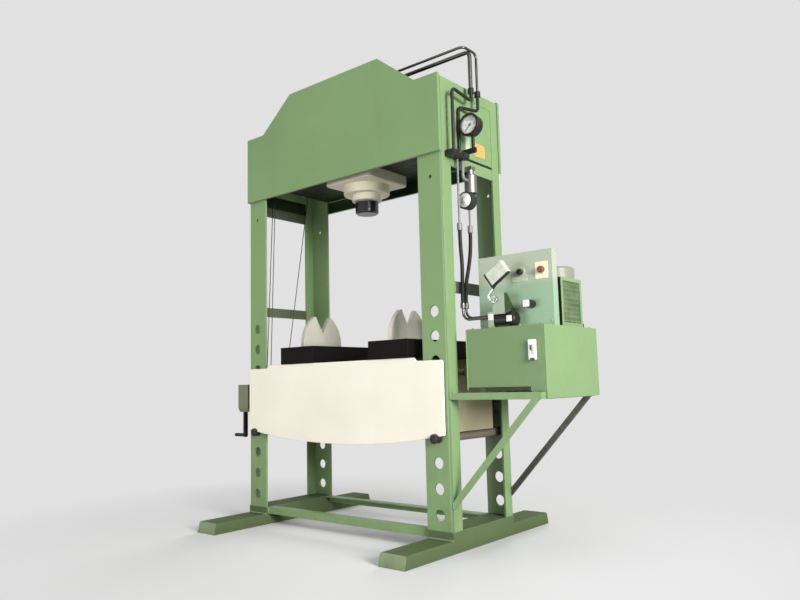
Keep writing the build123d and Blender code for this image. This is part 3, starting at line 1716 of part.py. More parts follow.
def make_lever(front, back):
    middle = (front + back) / 2
    hub = y_rod(lever_pivot_offset, front, back, lever_pivot_height, lever_boss_diameter)
    pin_hole = lever_pin_diameter + 2 * running_clearance
    hub -= y_rod(lever_pivot_offset, front - overrun, back + overrun, lever_pivot_height, pin_hole)
    elbow_x = lever_pivot_offset - lever_reach
    top_x = lever_pivot_offset + lever_lean
    top_z = lever_pivot_height + lever_rise
    hub_side = lever_pivot_offset - lever_pin_diameter
    shank = pipe(
        [
            (hub_side, middle, lever_pivot_height),
            (elbow_x, middle, lever_pivot_height - lever_dip),
            (top_x - lever_lean, middle, top_z - lever_reach * shank_share),
            (top_x, middle, top_z),
        ],
        [lever_bend, lever_bend],
        lever_rod_diameter,
    )
    grip = Box(grip_length, grip_depth, grip_width, align=(Align.MIN, Align.CENTER, Align.CENTER))
    grip = fillet(grip.edges(), grip_radius)
    clip_length = grip_clip + grip_radius
    clip_width = grip_width + grip_clip
    rib = Box(clip_length, lever_thickness, clip_width, align=(Align.MIN, Align.CENTER, Align.CENTER))
    rib = Pos(-grip_clip, 0, 0) * rib
    head_place = Pos(top_x, middle - grip_depth * grip_shift_share, top_z + grip_lift)
    head = head_place * Rot(0, -grip_tilt_degrees, 0) * (grip + rib)
    add("hand_lever", hub + shank + head)


def main():
    make_columns()
    make_feet()
    make_ties()
    make_head()
    make_cylinder()
    make_ram()
    make_table()
    make_winch()
    make_pulleys()
    make_ropes()
    make_pipes()
    make_gauge()
    add("relief_valve", relief_valve())
    make_hoses()
    make_shelf()
    make_tank()
    make_motor()
    make_starter()
    make_panel()
    make_hand_valve()
    os.makedirs("parts", exist_ok=True)
    for name, shape in nodes.items():
        export_step(shape, os.path.join("parts", name + ".step"))
    print(len(nodes), "nodes")


main()
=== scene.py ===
"""The looks of the hydraulic press: materials, welds, bolts, dial, ropes, hoses, light and camera."""
import json
from math import asin, atan2, cos, degrees, hypot, pi, radians, sin

import bmesh
import bpy
from mathutils import Matrix, Vector


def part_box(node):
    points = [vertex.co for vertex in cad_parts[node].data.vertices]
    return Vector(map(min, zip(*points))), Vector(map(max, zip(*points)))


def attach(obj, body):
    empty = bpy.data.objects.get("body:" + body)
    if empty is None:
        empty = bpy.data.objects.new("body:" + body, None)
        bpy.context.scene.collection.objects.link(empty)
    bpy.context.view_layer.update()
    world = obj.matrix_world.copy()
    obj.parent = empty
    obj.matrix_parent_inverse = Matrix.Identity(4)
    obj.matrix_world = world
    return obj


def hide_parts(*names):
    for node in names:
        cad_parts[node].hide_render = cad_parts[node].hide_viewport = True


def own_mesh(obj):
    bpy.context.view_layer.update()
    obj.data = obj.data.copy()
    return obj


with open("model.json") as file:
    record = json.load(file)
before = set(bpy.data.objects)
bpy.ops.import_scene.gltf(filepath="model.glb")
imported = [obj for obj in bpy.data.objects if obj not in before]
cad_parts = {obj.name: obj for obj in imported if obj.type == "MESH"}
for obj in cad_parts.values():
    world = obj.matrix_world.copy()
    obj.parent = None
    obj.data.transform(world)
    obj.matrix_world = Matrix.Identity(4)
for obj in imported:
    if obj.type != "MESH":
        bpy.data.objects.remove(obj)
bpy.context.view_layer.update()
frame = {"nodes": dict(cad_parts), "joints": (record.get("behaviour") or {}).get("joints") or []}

nodes = frame["nodes"]

# Camera fitted to the photograph, in metres and radians
CAMERA_PLACE = (2.5886, -2.8496, 0.7377)
CAMERA_YAW = -0.694
CAMERA_PITCH = 0.116
CAMERA_ROLL = -0.025
CAMERA_LENS = 32.4
SENSOR_WIDTH = 36.0

# Colours, linear
GREEN = (0.214, 0.338, 0.146)
GREEN_DEEP = (0.105, 0.185, 0.070)
GREEN_WORN = (0.38, 0.50, 0.30)
# Near black green: painted shade inside the head, and the cover's deep tone
GREEN_DARK = (0.010, 0.019, 0.006)
# The feet in a darker green that stands in for the shade on their tops
FOOT_GREEN_SHADED = (0.098, 0.142, 0.064)
FOOT_END = (0.26, 0.315, 0.178)
# The tank's front face, darker as painted shade
TANK_FRONT_SHADE = (0.165, 0.265, 0.110)
# Painted shade on the shelf's rear brace and inner faces
SHELF_SHADE = (0.052, 0.050, 0.038)
PIN_BROWN = (0.20, 0.165, 0.125)
# The right V-block in a brighter copy of the casting colour: painted light
VEE_LIT = (0.92, 0.87, 0.74)
GREEN_COVER = (0.075, 0.120, 0.050)
OLIVE = (0.185, 0.205, 0.115)
# The valve block's right and sloping faces, dark as painted shade
OLIVE_SHADE = (0.030, 0.050, 0.015)
PRIMER = (0.085, 0.075, 0.062)
PANEL_GREEN = (0.270, 0.410, 0.275)
PANEL_BAND = (0.40, 0.46, 0.345)
CREAM = (0.965, 0.915, 0.775)
CREAM_DEEP = (0.62, 0.54, 0.38)
CREAM_WORN = (0.74, 0.68, 0.54)
# The rear cheek and table frame, in a darker cream that stands in for shade
CREAM_SHADED = (0.40, 0.355, 0.22)
FLANGE = (0.97, 0.90, 0.71)
VEE_GREY = (0.50, 0.48, 0.41)
SLAB_BLACK = (0.006, 0.005, 0.004)
BLACK = (0.011, 0.010, 0.009)
STEEL = (0.50, 0.49, 0.47)
BARE_TIE = (0.095, 0.106, 0.066)
DARK_STEEL = (0.13, 0.125, 0.115)
CHROME = (0.74, 0.74, 0.75)
ROPE_WIRE = (0.075, 0.072, 0.068)
COWL = (0.25, 0.26, 0.20)
VALVE_GREY = (0.36, 0.44, 0.32)
GRIP = (0.62, 0.66, 0.55)
WHITE = (0.80, 0.80, 0.76)
DIAL_WHITE = (0.94, 0.94, 0.91)
LEGEND = (0.44, 0.55, 0.40)
AMBER = (0.72, 0.41, 0.12)
AMBER_SPECK = (0.30, 0.13, 0.03)
RED = (0.20, 0.045, 0.022)
STOP_CREAM = (0.90, 0.83, 0.60)
RUBBER = (0.012, 0.010, 0.008)
# Colour towards the floor: dusty, and on the columns painted shade
DUST_AND_SHADE = (0.085, 0.095, 0.050)
# Dark colour for corners: dirt, and painted shade where light is blocked
GRIME_AND_SHADE = (0.045, 0.05, 0.032)
BACKGROUND = (0.753, 0.753, 0.753)

# Light
AMBIENT = 0.24
BOUNCE_SHARE = 0.30
FLOOR_TONE = 0.82
FLOOR_RADIUS = 30.0
FLOOR_FADE_UNIT = 6.0
FLOOR_FADE = (0.12, 0.40)

# Lamps: name, place, target, size, power and whether surfaces mirror it
LAMPS = (
    ("key_right", (7.2, -2.5, 2.4), (0.2, 0.0, 1.1), 2.6, 780, True),
    ("front_low", (-0.6, -5.0, 0.30), (-0.1, 0.0, 1.3), 2.0, 130, True),
    ("top_soft", (0.6, -1.0, 7.0), (0.2, 0.0, 0.0), 3.5, 50, True),
    ("back_soft", (-2.6, 7.3, 2.4), (0.0, 0.0, 1.2), 3.0, 430, False),
)

# Patterns: ramp from and to, then the noise's scale, detail, roughness and stretch
PATTERNS = {
    "paint_cloud": (0.30, 0.75, 2.2, 3.0),
    "paint_streak": (0.55, 0.80, 9.0, 5.0, 0.6, (1.0, 1.0, 0.12)),
    "paint_speck": (0.66, 0.74, 140.0, 2.0),
    "paint_scratch": (0.70, 0.74, 46.0, 6.0, 0.7, (0.10, 1.0, 1.0)),
    "paint_rub": (0.36, 0.66, 22.0, 4.0),
    "paint_chip": (0.60, 0.64, 75.0, 5.0, 0.65),
    "paint_dirt": (0.34, 0.80, 9.0, 6.0, 0.65),
    "metal_patch": (0.35, 0.8, 11.0, 4.0),
    "cast_blotch": (0.40, 0.74, 13.0, 6.0, 0.62),
    "grip_cloud": (0.3, 0.75, 26.0, 4.0),
    "amber_speck": (0.52, 0.62, 85.0, 3.0),
    "plastic_shade": (0.3, 0.7, 40.0, 3.0),
    "hose_dust": (0.45, 0.8, 60.0, 4.0),
    "panel_cloud": (0.3, 0.75, 5.0, 4.0),
}

# How strongly a layer of wear covers what lies under it
SPECK_SHARE = 0.14
SCRATCH_SHARE = 0.22
RUB_SHARE = 2.0
CHIP_SHARE = 0.8
CHIP_EDGE = (0.10, 0.20)
DIRT_SHARE = 0.60
# Corner darkening: part dirt, part painted shade
CORNER_GRIME_AND_SHADE = 0.45
BLOTCH_SHARE = 0.34
AMBER_SHARE = 0.55
HOSE_DUST_SHARE = 0.35
NODE_SAMPLES = 4

# The share of a normal along an axis that counts as facing that way
FACES_WAY = 0.5
BLOCK_FACES_WAY = 0.3

# Where a node changes finish or carries painted shade, in metres and degrees
TIE_LOWEST = 1.0
TIE_SPLIT = 1.5
COLUMN_INSIDE = (0.57, 0.694)
HEAD_INSIDE_X = 0.685
HEAD_INSIDE_Y = 0.2505
HEAD_INSIDE_TOP = 1.8705
LOOP_SPLIT = 1.775
SHELF_LOW = 0.655
SHELF_BRACE_FROM = 0.1
SHELF_INNER_FROM = -0.15
PIN_END_FROM = -0.250
FOOT_END_FROM = 0.5
RELIEF_SPLIT = 1.629
PANEL_BAND_LOW = 1.178
GRIP_FOOT = (0.8985, 1.176)
GRIP_TILT = 34.0
GRIP_HALF_WIDTH = 0.033
GRIP_EDGE = 0.001
GRIP_CLIP_FROM = -0.0105
GRIP_UNDER_SHADE = 0.0025

# Sizes of added detail
WELD_RADIUS = 0.0042
WELD_STEP = 0.0062
BOLT_SINK = 0.001
PLATE_THICKNESS = 0.0015
LABEL_EDGE = 0.0006
ROPE_RADIUS = 0.0025
ROPE_STRANDS = 6
ROPE_LAY = 0.028
ROPE_STEP = 0.0032
FALL_GAP = 0.001
HOSE_RADIUS = 0.009
CORNER_STEPS = 4
RING_SOFT = 0.3
STRAND_POINTS = 3
STRAND_SWELL = 0.12
ROPE_SIDE = (0.3, 0.95, 0.1)
WELD_WAVES = ((0.16, 2.1), (0.08, 0.73))
WELD_END = 0.45

# Sides of round details
WASHER_SIDES = 20
SCREW_SIDES = 18
RING_SIDES = 40
DIAL_SIDES = 64
EYE_SIDES = 24
WELD_SIDES = 8

# Turned profiles as shares of a radius and a height
WASHER_WIDTH = 1.25
WASHER_RISE = 0.25
WASHER_PROFILE = ((1.0, 0.0), (1.0, 0.8), (0.95, 1.0))
HEX_PROFILE = ((1.0, 0.0), (1.0, 0.78), (0.86, 1.0))
SCREW_PROFILE = ((1.0, 0.0), (1.0, 0.45), (0.82, 0.85), (0.4, 1.0))

# Ways that a detail can face
TO_FRONT = (0, -1, 0)
TO_RIGHT = (1, 0, 0)
TO_LEFT = (-1, 0, 0)
TO_TOP = (0, 0, 1)

# Welds, in metres
FOOT_PAD_HEIGHT = 0.036
FOOT_WELD_INSET = 0.015
SIDE_TIE_LOW = 1.145
TOP_TIE_DROP = 0.057
TIE_DEPTH = 0.054
SHELF_WELD_INSET = 0.005
SHELF_WELD_SPANS = ((0.664, 0.692), (0.185, 0.222))
SHELF_WELD_RADIUS = 0.003
HEAD_FLOOR_Z = 1.870
HEAD_FLOOR_SPANS = ((-0.56, -0.235), (0.235, 0.56))
HEAD_RIB_FACES = (-0.226, -0.21, 0.21, 0.226)
HEAD_RIB_SPAN = (1.897, 2.27)
SPREADER_FACES = (-0.555, -0.535, 0.535, 0.555)
SPREADER_SPAN = (0.53, 0.79)
TABLE_BOX_X = (-0.555, 0.555)
TABLE_BOX_Y = (-0.15, 0.15)
TABLE_BOX_SPAN = (0.525, 0.79)
TANK_WELD_INSET = 0.003
TANK_WELD_RISE = 0.036
TANK_WELD_LOW = 0.72
TANK_WELD_RADIUS = 0.0022

# Bolts and screws: places by x, y and z, and sizes as width and height
TIE_BOLT_Y = (-0.042, 0.057)
TIE_BOLT_Z = 1.768
TIE_BOLT_SIZE = (0.019, 0.010)
MANIFOLD_BOLTS = ((0.751,), (-0.190, -0.140), (1.792,))
MANIFOLD_BOLT_SIZE = (0.013, 0.009)
WINCH_SCREW_INSET = 0.014
WINCH_SCREW_Z = (0.636, 0.742)
WINCH_SCREW_SIZE = (0.012, 0.004)
PANEL_FRONT = -0.100
PANEL_SCREWS = ((0.788, 1.136), (PANEL_FRONT,), (0.99, 1.282))
PANEL_SCREW_SIZE = (0.009, 0.003)
LID_BOLT_X = (0.79, 0.90, 1.03, 1.13)
LID_BOLT_INSET = 0.018
LID_BOLT_SIZE = (0.010, 0.006)
TAG_RIVETS = ((0.6944,), (0.031, 0.113), (1.845, 1.899))
RIVET_SIZE = (0.005, 0.002)

# Gauge dial
DIAL_Y = -0.120
DIAL_RADIUS = 0.046
DIAL_PROFILE = ((1.0, -0.0002), (1.0, 0.0004), (0.985, 0.0006))
DIAL_START = 225
DIAL_SWEEP = 270
DIAL_TICKS = 50
TICKS_PER_NUMBER = 10
MAJOR_TICK = (0.76, 0.0007)
MINOR_TICK = (0.84, 0.00035)
TICK_OUTER = 0.93
MARK_RISE = 0.0008
NUMBER_STEP = 100
NUMBER_RING = 0.60
NUMBER_SIZE = 0.0095

# Control panel plates: name, place, width, height, corner, material, body and slot
PANEL_PLATES = (
    ("stop_plate", (1.097, PANEL_FRONT, 1.210), 0.062, 0.074, 0.004, "stop_plate", "frame", "grey_plastic"),
    ("start_plate", (0.988, PANEL_FRONT, 1.186), 0.076, 0.030, 0.003, "legend", "frame", "grey_plastic"),
    ("selector_face", (1.046, -0.1553, 1.067), 0.031, 0.031, 0.003, "pale_plastic", "selector",
     "black_plastic"),
    ("valve_eye_face", (0.982, -0.193, 1.005), 0.026, 0.026, 0.002, "pale_plastic", "frame", "black_paint"),
    ("port_cap_face", (0.885, -0.185, 1.018), 0.025, 0.029, 0.002, "pale_plastic", "frame", "grey_paint"),
)

# Button rings: name, place, inner and outer radius, material
BUTTON_RING_HEIGHT = 0.003
BUTTON_RINGS = (
    ("start_ring", (0.997, PANEL_FRONT, 1.212), 0.016, 0.022, "legend"),
    ("stop_ring", (1.099, PANEL_FRONT, 1.212), 0.0155, 0.0195, "stop_plate"),
)
RELIEF_FACE = (0.716, -0.1055, 1.587)
RELIEF_FACE_STEPS = (
    (0.034, 0), (0.034, 0.002), (0.031, 0.003), (0.012, 0.003), (0.010, 0.007), (0.007, 0.008),
)

# Head end plates: name, place, width, height, thickness, corner, material and slot
END_FACE = 0.693
END_PLATES = (
    ("end_plate_tag", (END_FACE, 0.072, 1.872), 0.094, 0.066, PLATE_THICKNESS, 0.003, "amber_plate",
     "grey_plastic"),
    ("gauge_strap", (END_FACE, -0.035, 1.865), 0.036, 0.100, 0.004, 0.004, "legend", "grey_plastic"),
)
# A black strip in the groove under the head's right end plate, standing in for its shadow
SHADE_STRIP_PLACE = (0.6875, 0.0, 1.804)
SHADE_STRIP_SIZE = (0.350, 0.0125, 0.004, 0.003)

# Tank level gauge: offsets from its middle, heights, and plates as width, height, thickness and corner
LEVEL_OFFSET = -0.005
LEVEL_SLOT_Z = 0.870
LEVEL_SLOT = (0.005, 0.016, PLATE_THICKNESS, 0.002)
LEVEL_TAP_OFFSET = 0.002
LEVEL_TAP_RISE = 0.004
LEVEL_TAP = (0.020, 0.009, 0.003, 0.002)
LEVEL_EYE_Z = 0.8805
LEVEL_EYE_PROUD = 0.0005
LEVEL_EYE_STEPS = ((0.0034, 0), (0.0034, 0.0015), (0.0026, 0.0024))

# Starter box cover
STARTER_RECESS = 0.0054
STARTER_RIBS = 14
STARTER_RIB_RISE = 0.0028
STARTER_RIB_SHARES = (0.45, 0.55, 0.85)
STARTER_BORDER = 0.0165
# Dark strip of painted shade on the box's front
STARTER_SHADE_STRIP = (0.028, 0.212, 0.002, 0.003)

# Rope path
PULLEY_REACH = 0.0375
DRUM_REACH = 0.0268
ROPE_END_Z = 0.800
LEFT_FALL_Y = -0.028

# Hose routes, top to bottom
HOSE_LEFT_ROUTE = [
    (0.714, -0.152, 1.436),
    (0.714, -0.152, 1.3684),
    (0.716, -0.144, 1.27376),
    (0.714, -0.147, 1.17912),
    (0.714, -0.147, 1.098),
]
HOSE_RIGHT_ROUTE = [
    (0.714, -0.066, 1.436),
    (0.714, -0.066, 1.3684),
    (0.718, -0.092, 1.27376),
    (0.714, -0.121, 1.17912),
    (0.714, -0.121, 1.098),
]


# Node helpers for materials
class Shader:
    """A small builder for the nodes of one material or of the world."""

    def __init__(self, name, kind="materials"):
        self.made = getattr(bpy.data, kind).new(name)
        self.made.use_nodes = True
        self.tree = self.made.node_tree
        self.bsdf = self.tree.nodes.get("Principled BSDF")

    def node(self, kind, **settings):
        made = self.tree.nodes.new(kind)
        for key, value in settings.items():
            if key in made.inputs:
                made.inputs[key].default_value = value
            else:
                setattr(made, key, value)
        return made

    def link(self, source, target):
        self.tree.links.new(source, target)

    def put(self, value, socket):
        """Link an output to a socket, or set the socket to a plain value."""
        if hasattr(value, "is_output"):
            self.link(value, socket)
        else:
            socket.default_value = value

    def position(self):
        return self.node("ShaderNodeTexCoord").outputs["Object"]

    def noise(self, scale, detail=4.0, rough=0.5, stretch=None):
        """A noise value over the object, stretched along an axis where asked."""
        vector = self.position()
        if stretch:
            mapping = self.node("ShaderNodeMapping", Scale=stretch)
            self.link(vector, mapping.inputs["Vector"])
            vector = mapping.outputs["Vector"]
        texture = self.node("ShaderNodeTexNoise", Scale=scale, Detail=detail, Roughness=rough)
        self.link(vector, texture.inputs["Vector"])
        return texture.outputs["Fac"]

    def ramp(self, value, low, high, start=(0, 0, 0), end=(1, 1, 1)):
        made = self.node("ShaderNodeValToRGB")
        made.color_ramp.elements[0].position = low
        made.color_ramp.elements[1].position = high
        made.color_ramp.elements[0].color = (*start, 1)
        made.color_ramp.elements[1].color = (*end, 1)
        self.link(value, made.inputs["Fac"])
        return made.outputs["Color"]

    def mix(self, factor, first, second):
        made = self.node("ShaderNodeMix", data_type="RGBA")
        self.put(factor, made.inputs["Factor"])
        for value, socket in ((first, made.inputs[6]), (second, made.inputs[7])):
            self.put(value if hasattr(value, "is_output") else (*value, 1), socket)
        return made.outputs[2]

    def maths(self, operation, first, second):
        made = self.node("ShaderNodeMath", operation=operation)
        self.put(first, made.inputs[0])
        self.put(second, made.inputs[1])
        return made.outputs[0]

    def surface(self, surface):
        """Send a surface to the output."""
        out = [node for node in self.tree.nodes if "Output" in node.name][0]
        self.link(surface, out.inputs["Surface"])

    def blend(self, share, first, second):
        """A surface between two others."""
        made = self.node("ShaderNodeMixShader")
        for source, socket in zip((share, first, second), made.inputs):
            self.link(source, socket)
        return made.outputs["Shader"]

    def seen(self):
        """One for rays that look, mirror or pass through, so metal shows the backdrop."""
        path = self.node("ShaderNodeLightPath").outputs
        mirrored = self.either(path["Is Camera Ray"], path["Is Glossy Ray"])
        return self.either(mirrored, path["Is Transmission Ray"])

    def axes(self, vector=None):
        """The three parts of a vector, by default the object's own place in metres at rest."""
        split = self.node("ShaderNodeSeparateXYZ")
        self.link(vector or self.position(), split.inputs["Vector"])
        return [split.outputs[axis] for axis in "XYZ"]

    def normal(self):
        return self.node("ShaderNodeNewGeometry").outputs["Normal"]

    def pattern(self, name):
        """A named noise, cut to a ramp from zero to one."""
        low, high, *noise = PATTERNS[name]
        return self.ramp(self.noise(*noise), low, high)

    def spread(self, value, low, high, first, last):
        """A ramp between two plain values."""
        return self.ramp(value, low, high, (first,) * 3, (last,) * 3)

    def away(self, value):
        """The distance from zero."""
        return self.maths("ABSOLUTE", value, 0.0)

    def times(self, first, second):
        return self.maths("MULTIPLY", first, second)

    def above(self, value, limit):
        return self.maths("GREATER_THAN", value, limit)

    def below(self, value, limit):
        return self.maths("LESS_THAN", value, limit)

    def both(self, first, second):
        return self.times(first, second)

    def either(self, first, second):
        return self.maths("MAXIMUM", first, second)

    def edge_mask(self, width):
        """One near a sharp edge, zero on flat stretches."""
        bevel = self.node("ShaderNodeBevel", samples=NODE_SAMPLES, Radius=width)
        dot = self.node("ShaderNodeVectorMath", operation="DOT_PRODUCT")
        self.link(bevel.outputs["Normal"], dot.inputs[0])
        self.link(self.normal(), dot.inputs[1])
        return self.maths("SUBTRACT", 1.0, dot.outputs["Value"])

    def corner_shade_mask(self, reach):
        """One in tight corners, zero in the open: an occlusion mask that paints shade into corners."""
        shade = self.node("ShaderNodeAmbientOcclusion", samples=NODE_SAMPLES, Distance=reach)
        return self.maths("SUBTRACT", 1.0, shade.outputs["AO"])

    def finish(self, colour, rough, bump, strength, distance, round_edge=0.0, metal=0.0, shine=0.5):
        """Colour, gloss and relief on the surface, with its edges rounded in the light."""
        self.link(colour, self.bsdf.inputs["Base Color"])
        self.put(rough, self.bsdf.inputs["Roughness"])
        self.bsdf.inputs["Metallic"].default_value = metal
        self.bsdf.inputs["Specular IOR Level"].default_value = shine
        raised = self.node("ShaderNodeBump", Strength=strength, Distance=distance)
        self.link(bump, raised.inputs["Height"])
        if round_edge:
            bevel = self.node("ShaderNodeBevel", samples=NODE_SAMPLES, Radius=round_edge)
            self.link(bevel.outputs["Normal"], raised.inputs["Normal"])
        self.link(raised.outputs["Normal"], self.bsdf.inputs["Normal"])
        return self.made


def height_of(shader):
    return shader.axes()[2]


# Masks for nodes that carry two finishes or a patch of painted shade
def bare_ties(shader):
    """The bare steel ties: both on the left side and the lower one on the right."""
    x, _, z = shader.axes()
    high = shader.above(z, TIE_LOWEST)
    return shader.both(high, shader.either(shader.below(x, 0.0), shader.below(z, TIE_SPLIT)))


def column_inside_shade(shader):
    """Pin-hole walls, the flanges' inner faces and the rear right column's inner face, painted darker green
    as shade.
    """
    x, y, _ = shader.axes()
    turn_x, turn_y, _ = shader.axes(shader.normal())
    across = shader.away(x)
    within = shader.both(shader.above(across, COLUMN_INSIDE[0]), shader.below(across, COLUMN_INSIDE[1]))
    walls = shader.both(within, shader.above(shader.away(turn_x), FACES_WAY))
    right = shader.above(x, 0.0)
    shaded = shader.both(walls, shader.either(right, shader.below(y, 0.0)))
    rear_right = shader.both(right, shader.above(y, 0.0))
    return shader.either(shaded, shader.both(rear_right, shader.below(turn_y, -FACES_WAY)))


def shelf_shade(shader):
    """The rear brace and the inner faces under the tank, painted dark as shade."""
    _, y, z = shader.axes()
    turned = shader.axes(shader.normal())[1]
    brace = shader.both(shader.above(y, SHELF_BRACE_FROM), shader.below(z, SHELF_LOW))
    inner = shader.both(shader.above(y, SHELF_INNER_FROM), shader.below(turned, -FACES_WAY))
    return shader.either(brace, inner)


def pin_ends(shader):
    """The black front ends of the table pins."""
    return shader.below(shader.axes()[1], PIN_END_FROM)


def head_inside_shade(shader):
    """The faces inside the head's open bottom, painted dark as shade."""
    x, y, z = shader.axes()
    across = shader.below(shader.away(x), HEAD_INSIDE_X)
    deep = shader.below(shader.away(y), HEAD_INSIDE_Y)
    return shader.both(shader.both(across, deep), shader.below(z, HEAD_INSIDE_TOP))


def foot_ends(shader):
    """The dusty end faces of the feet, paler than the rest, which is painted darker as shade."""
    along = shader.away(shader.axes()[1])
    turned = shader.away(shader.axes(shader.normal())[1])
    return shader.both(shader.above(along, FOOT_END_FROM), shader.above(turned, FACES_WAY))


def tank_front_shade(shader):
    """The tank's front face, painted darker as shade."""
    return shader.below(shader.axes(shader.normal())[1], -FACES_WAY)


def loop_rods(shader):
    """The lower ends of the pipe loop, where bare steel shows."""
    return shader.below(height_of(shader), LOOP_SPLIT)


def block_side_shade(shader):
    """Faces of the valve block that look to the right or slope back, painted dark olive as shade."""
    across, out, _ = shader.axes(shader.normal())
    return shader.either(shader.above(across, BLOCK_FACES_WAY), shader.above(out, -BLOCK_FACES_WAY))


def scaled(colour, share):
    return [min(1.0, c * share) for c in colour]


def paint(name, colour, deep, worn, rough=0.40, edge=0.004, dust_and_shade=0.0, grime_and_shade=0.55,
          shine=0.3, runs=0.16, patch=None):
    """Machine enamel: blotches, brushed runs, orange peel, chipped edges, corners darkened by dirt and
    painted shade, and dusty darkening towards the floor, deepened as painted shade where asked.
    """
    shader = Shader(name)
    tone = shader.mix(shader.pattern("paint_cloud"), scaled(colour, 0.93), scaled(colour, 1.05))
    if patch:
        where, other = patch
        tone = shader.mix(where(shader), tone, other)
    layers = (("streak", runs, deep), ("speck", SPECK_SHARE, deep), ("scratch", SCRATCH_SHARE, worn))
    for layer, share, over in layers:
        tone = shader.mix(shader.times(shader.pattern("paint_" + layer), share), tone, over)
    # Corners darkened through ambient occlusion: dirt, and painted shade
    corner = shader.times(shader.corner_shade_mask(0.05), grime_and_shade)
    grimy_shade = [d * (1 - CORNER_GRIME_AND_SHADE) + g * CORNER_GRIME_AND_SHADE for d, g in zip(deep, GRIME_AND_SHADE)]
    tone = shader.mix(corner, tone, grimy_shade)
    near_edge = shader.edge_mask(edge)
    rubbed = shader.times(shader.times(near_edge, RUB_SHARE), shader.pattern("paint_rub"))
    tone = shader.mix(rubbed, tone, worn)
    chip = shader.times(shader.ramp(near_edge, *CHIP_EDGE), shader.pattern("paint_chip"))
    tone = shader.mix(shader.times(chip, CHIP_SHARE), tone, PRIMER)
    # Darker towards the floor: dusty on every coat, deepened on the columns as painted shade
    if dust_and_shade:
        low = shader.ramp(height_of(shader), 0.0, dust_and_shade, (1, 1, 1), (0, 0, 0))
        dirt = shader.times(shader.pattern("paint_dirt"), DIRT_SHARE)
        tone = shader.mix(shader.times(low, dirt), tone, DUST_AND_SHADE)
    gloss = shader.spread(shader.noise(30.0, 3.0), 0.2, 0.8, rough - 0.08, rough + 0.12)
    peel = shader.mix(0.35, shader.noise(240.0, 2.0), shader.noise(38.0, 3.0))
    return shader.finish(tone, gloss, peel, 0.14, 0.0005, 0.0022, shine=shine)


def metal(name, colour, rough, grain, stretch=None, dark=0.72, edge=0.0015, strength=0.05):
    """Bare metal with fine machining lines and a few darker patches."""
    shader = Shader(name)
    lines = shader.noise(grain, 6.0, 0.65, stretch)
    tone = shader.mix(shader.pattern("metal_patch"), colour, scaled(colour, dark))
    # Corners darkened through ambient occlusion: dirt, and painted shade
    tone = shader.mix(shader.times(shader.corner_shade_mask(0.02), 0.6), tone, GRIME_AND_SHADE)
    gloss = shader.spread(lines, 0.25, 0.8, max(0.04, rough - 0.08), rough + 0.12)
    return shader.finish(tone, gloss, lines, strength, 0.0001, edge, 1.0)


def cast(name, colour, deep, rough=0.62, grain=180.0, shine=0.4, grime_and_shade=0.7):
    """Cast or scaled steel under thin paint: grainy, with dark oily patches."""
    shader = Shader(name)
    tone = shader.mix(shader.times(shader.pattern("cast_blotch"), BLOTCH_SHARE), colour, deep)
    # Corners darkened through ambient occlusion: dirt, and painted shade
    corner = shader.times(shader.corner_shade_mask(0.04), grime_and_shade)
    tone = shader.mix(corner, tone, scaled(deep, 0.6))
    edge_wear = shader.times(shader.edge_mask(0.004), 1.6)
    tone = shader.mix(edge_wear, tone, [min(1.0, c * 1.25 + 0.02) for c in colour])
    gloss = shader.spread(shader.noise(22.0, 4.0), 0.2, 0.8, rough - 0.14, rough + 0.08)
    return shader.finish(tone, gloss, shader.noise(grain, 5.0, 0.6), 0.20, 0.0006, 0.003, shine=shine)


def relief_metal(name):
    """Turned steel above, with a blackened adjusting head below."""
    shader = Shader(name)
    lines = shader.noise(70.0, 5.0, 0.6, (1, 1, 7))
    above = shader.above(height_of(shader), RELIEF_SPLIT)
    tone = shader.mix(above, BLACK, scaled(STEEL, 0.5))
    gloss = shader.spread(lines, 0.25, 0.8, 0.34, 0.54)
    made = shader.finish(tone, gloss, lines, 0.06, 0.0001, 0.0015)
    shader.link(above, shader.bsdf.inputs["Metallic"])
    return made


def lever_finish(name):
    """A pale moulded grip with a black clip at its foot and a dark band of painted shade along its
    underside, on a bright shank.
    """
    shader = Shader(name)
    x, _, z = shader.axes()
    lean = radians(GRIP_TILT)
    ahead = shader.maths("SUBTRACT", x, GRIP_FOOT[0])
    rise = shader.maths("SUBTRACT", z, GRIP_FOOT[1])
    along = shader.maths("ADD", shader.times(ahead, cos(lean)), shader.times(rise, sin(lean)))
    side = shader.maths("SUBTRACT", shader.times(rise, cos(lean)), shader.times(ahead, sin(lean)))
    grip = shader.above(along, GRIP_EDGE)
    clip = shader.both(shader.above(along, GRIP_CLIP_FROM), shader.below(along, GRIP_EDGE))
    # The grip's underside: a dark band of painted shade
    under = shader.both(grip, shader.below(side, GRIP_UNDER_SHADE - GRIP_HALF_WIDTH))
    pale = shader.mix(shader.pattern("grip_cloud"), scaled(GRIP, 0.86), scaled(GRIP, 1.12))
    tone = shader.mix(grip, CHROME, pale)
    tone = shader.mix(shader.either(clip, under), tone, BLACK)
    gloss = shader.spread(shader.noise(60.0, 4.0), 0.25, 0.8, 0.20, 0.42)
    made = shader.finish(tone, gloss, shader.noise(300.0, 2.0), 0.05, 0.0002, 0.0015)
    shader.link(shader.below(along, GRIP_CLIP_FROM), shader.bsdf.inputs["Metallic"])
    return made


def amber_plate(name):
    """An amber plate with brown wear specks."""
    shader = Shader(name)
    tone = shader.mix(shader.times(shader.pattern("amber_speck"), AMBER_SHARE), AMBER, AMBER_SPECK)
    return shader.finish(tone, 0.40, shader.noise(240.0, 2.0), 0.08, 0.0002, 0.001)


def plastic(name, colour, rough=0.38, grain=420.0):
    shader = Shader(name)
    tone = shader.mix(shader.pattern("plastic_shade"), scaled(colour, 0.92), scaled(colour, 1.05))
    return shader.finish(tone, rough, shader.noise(grain, 2.0), 0.08, 0.0002, 0.0012)


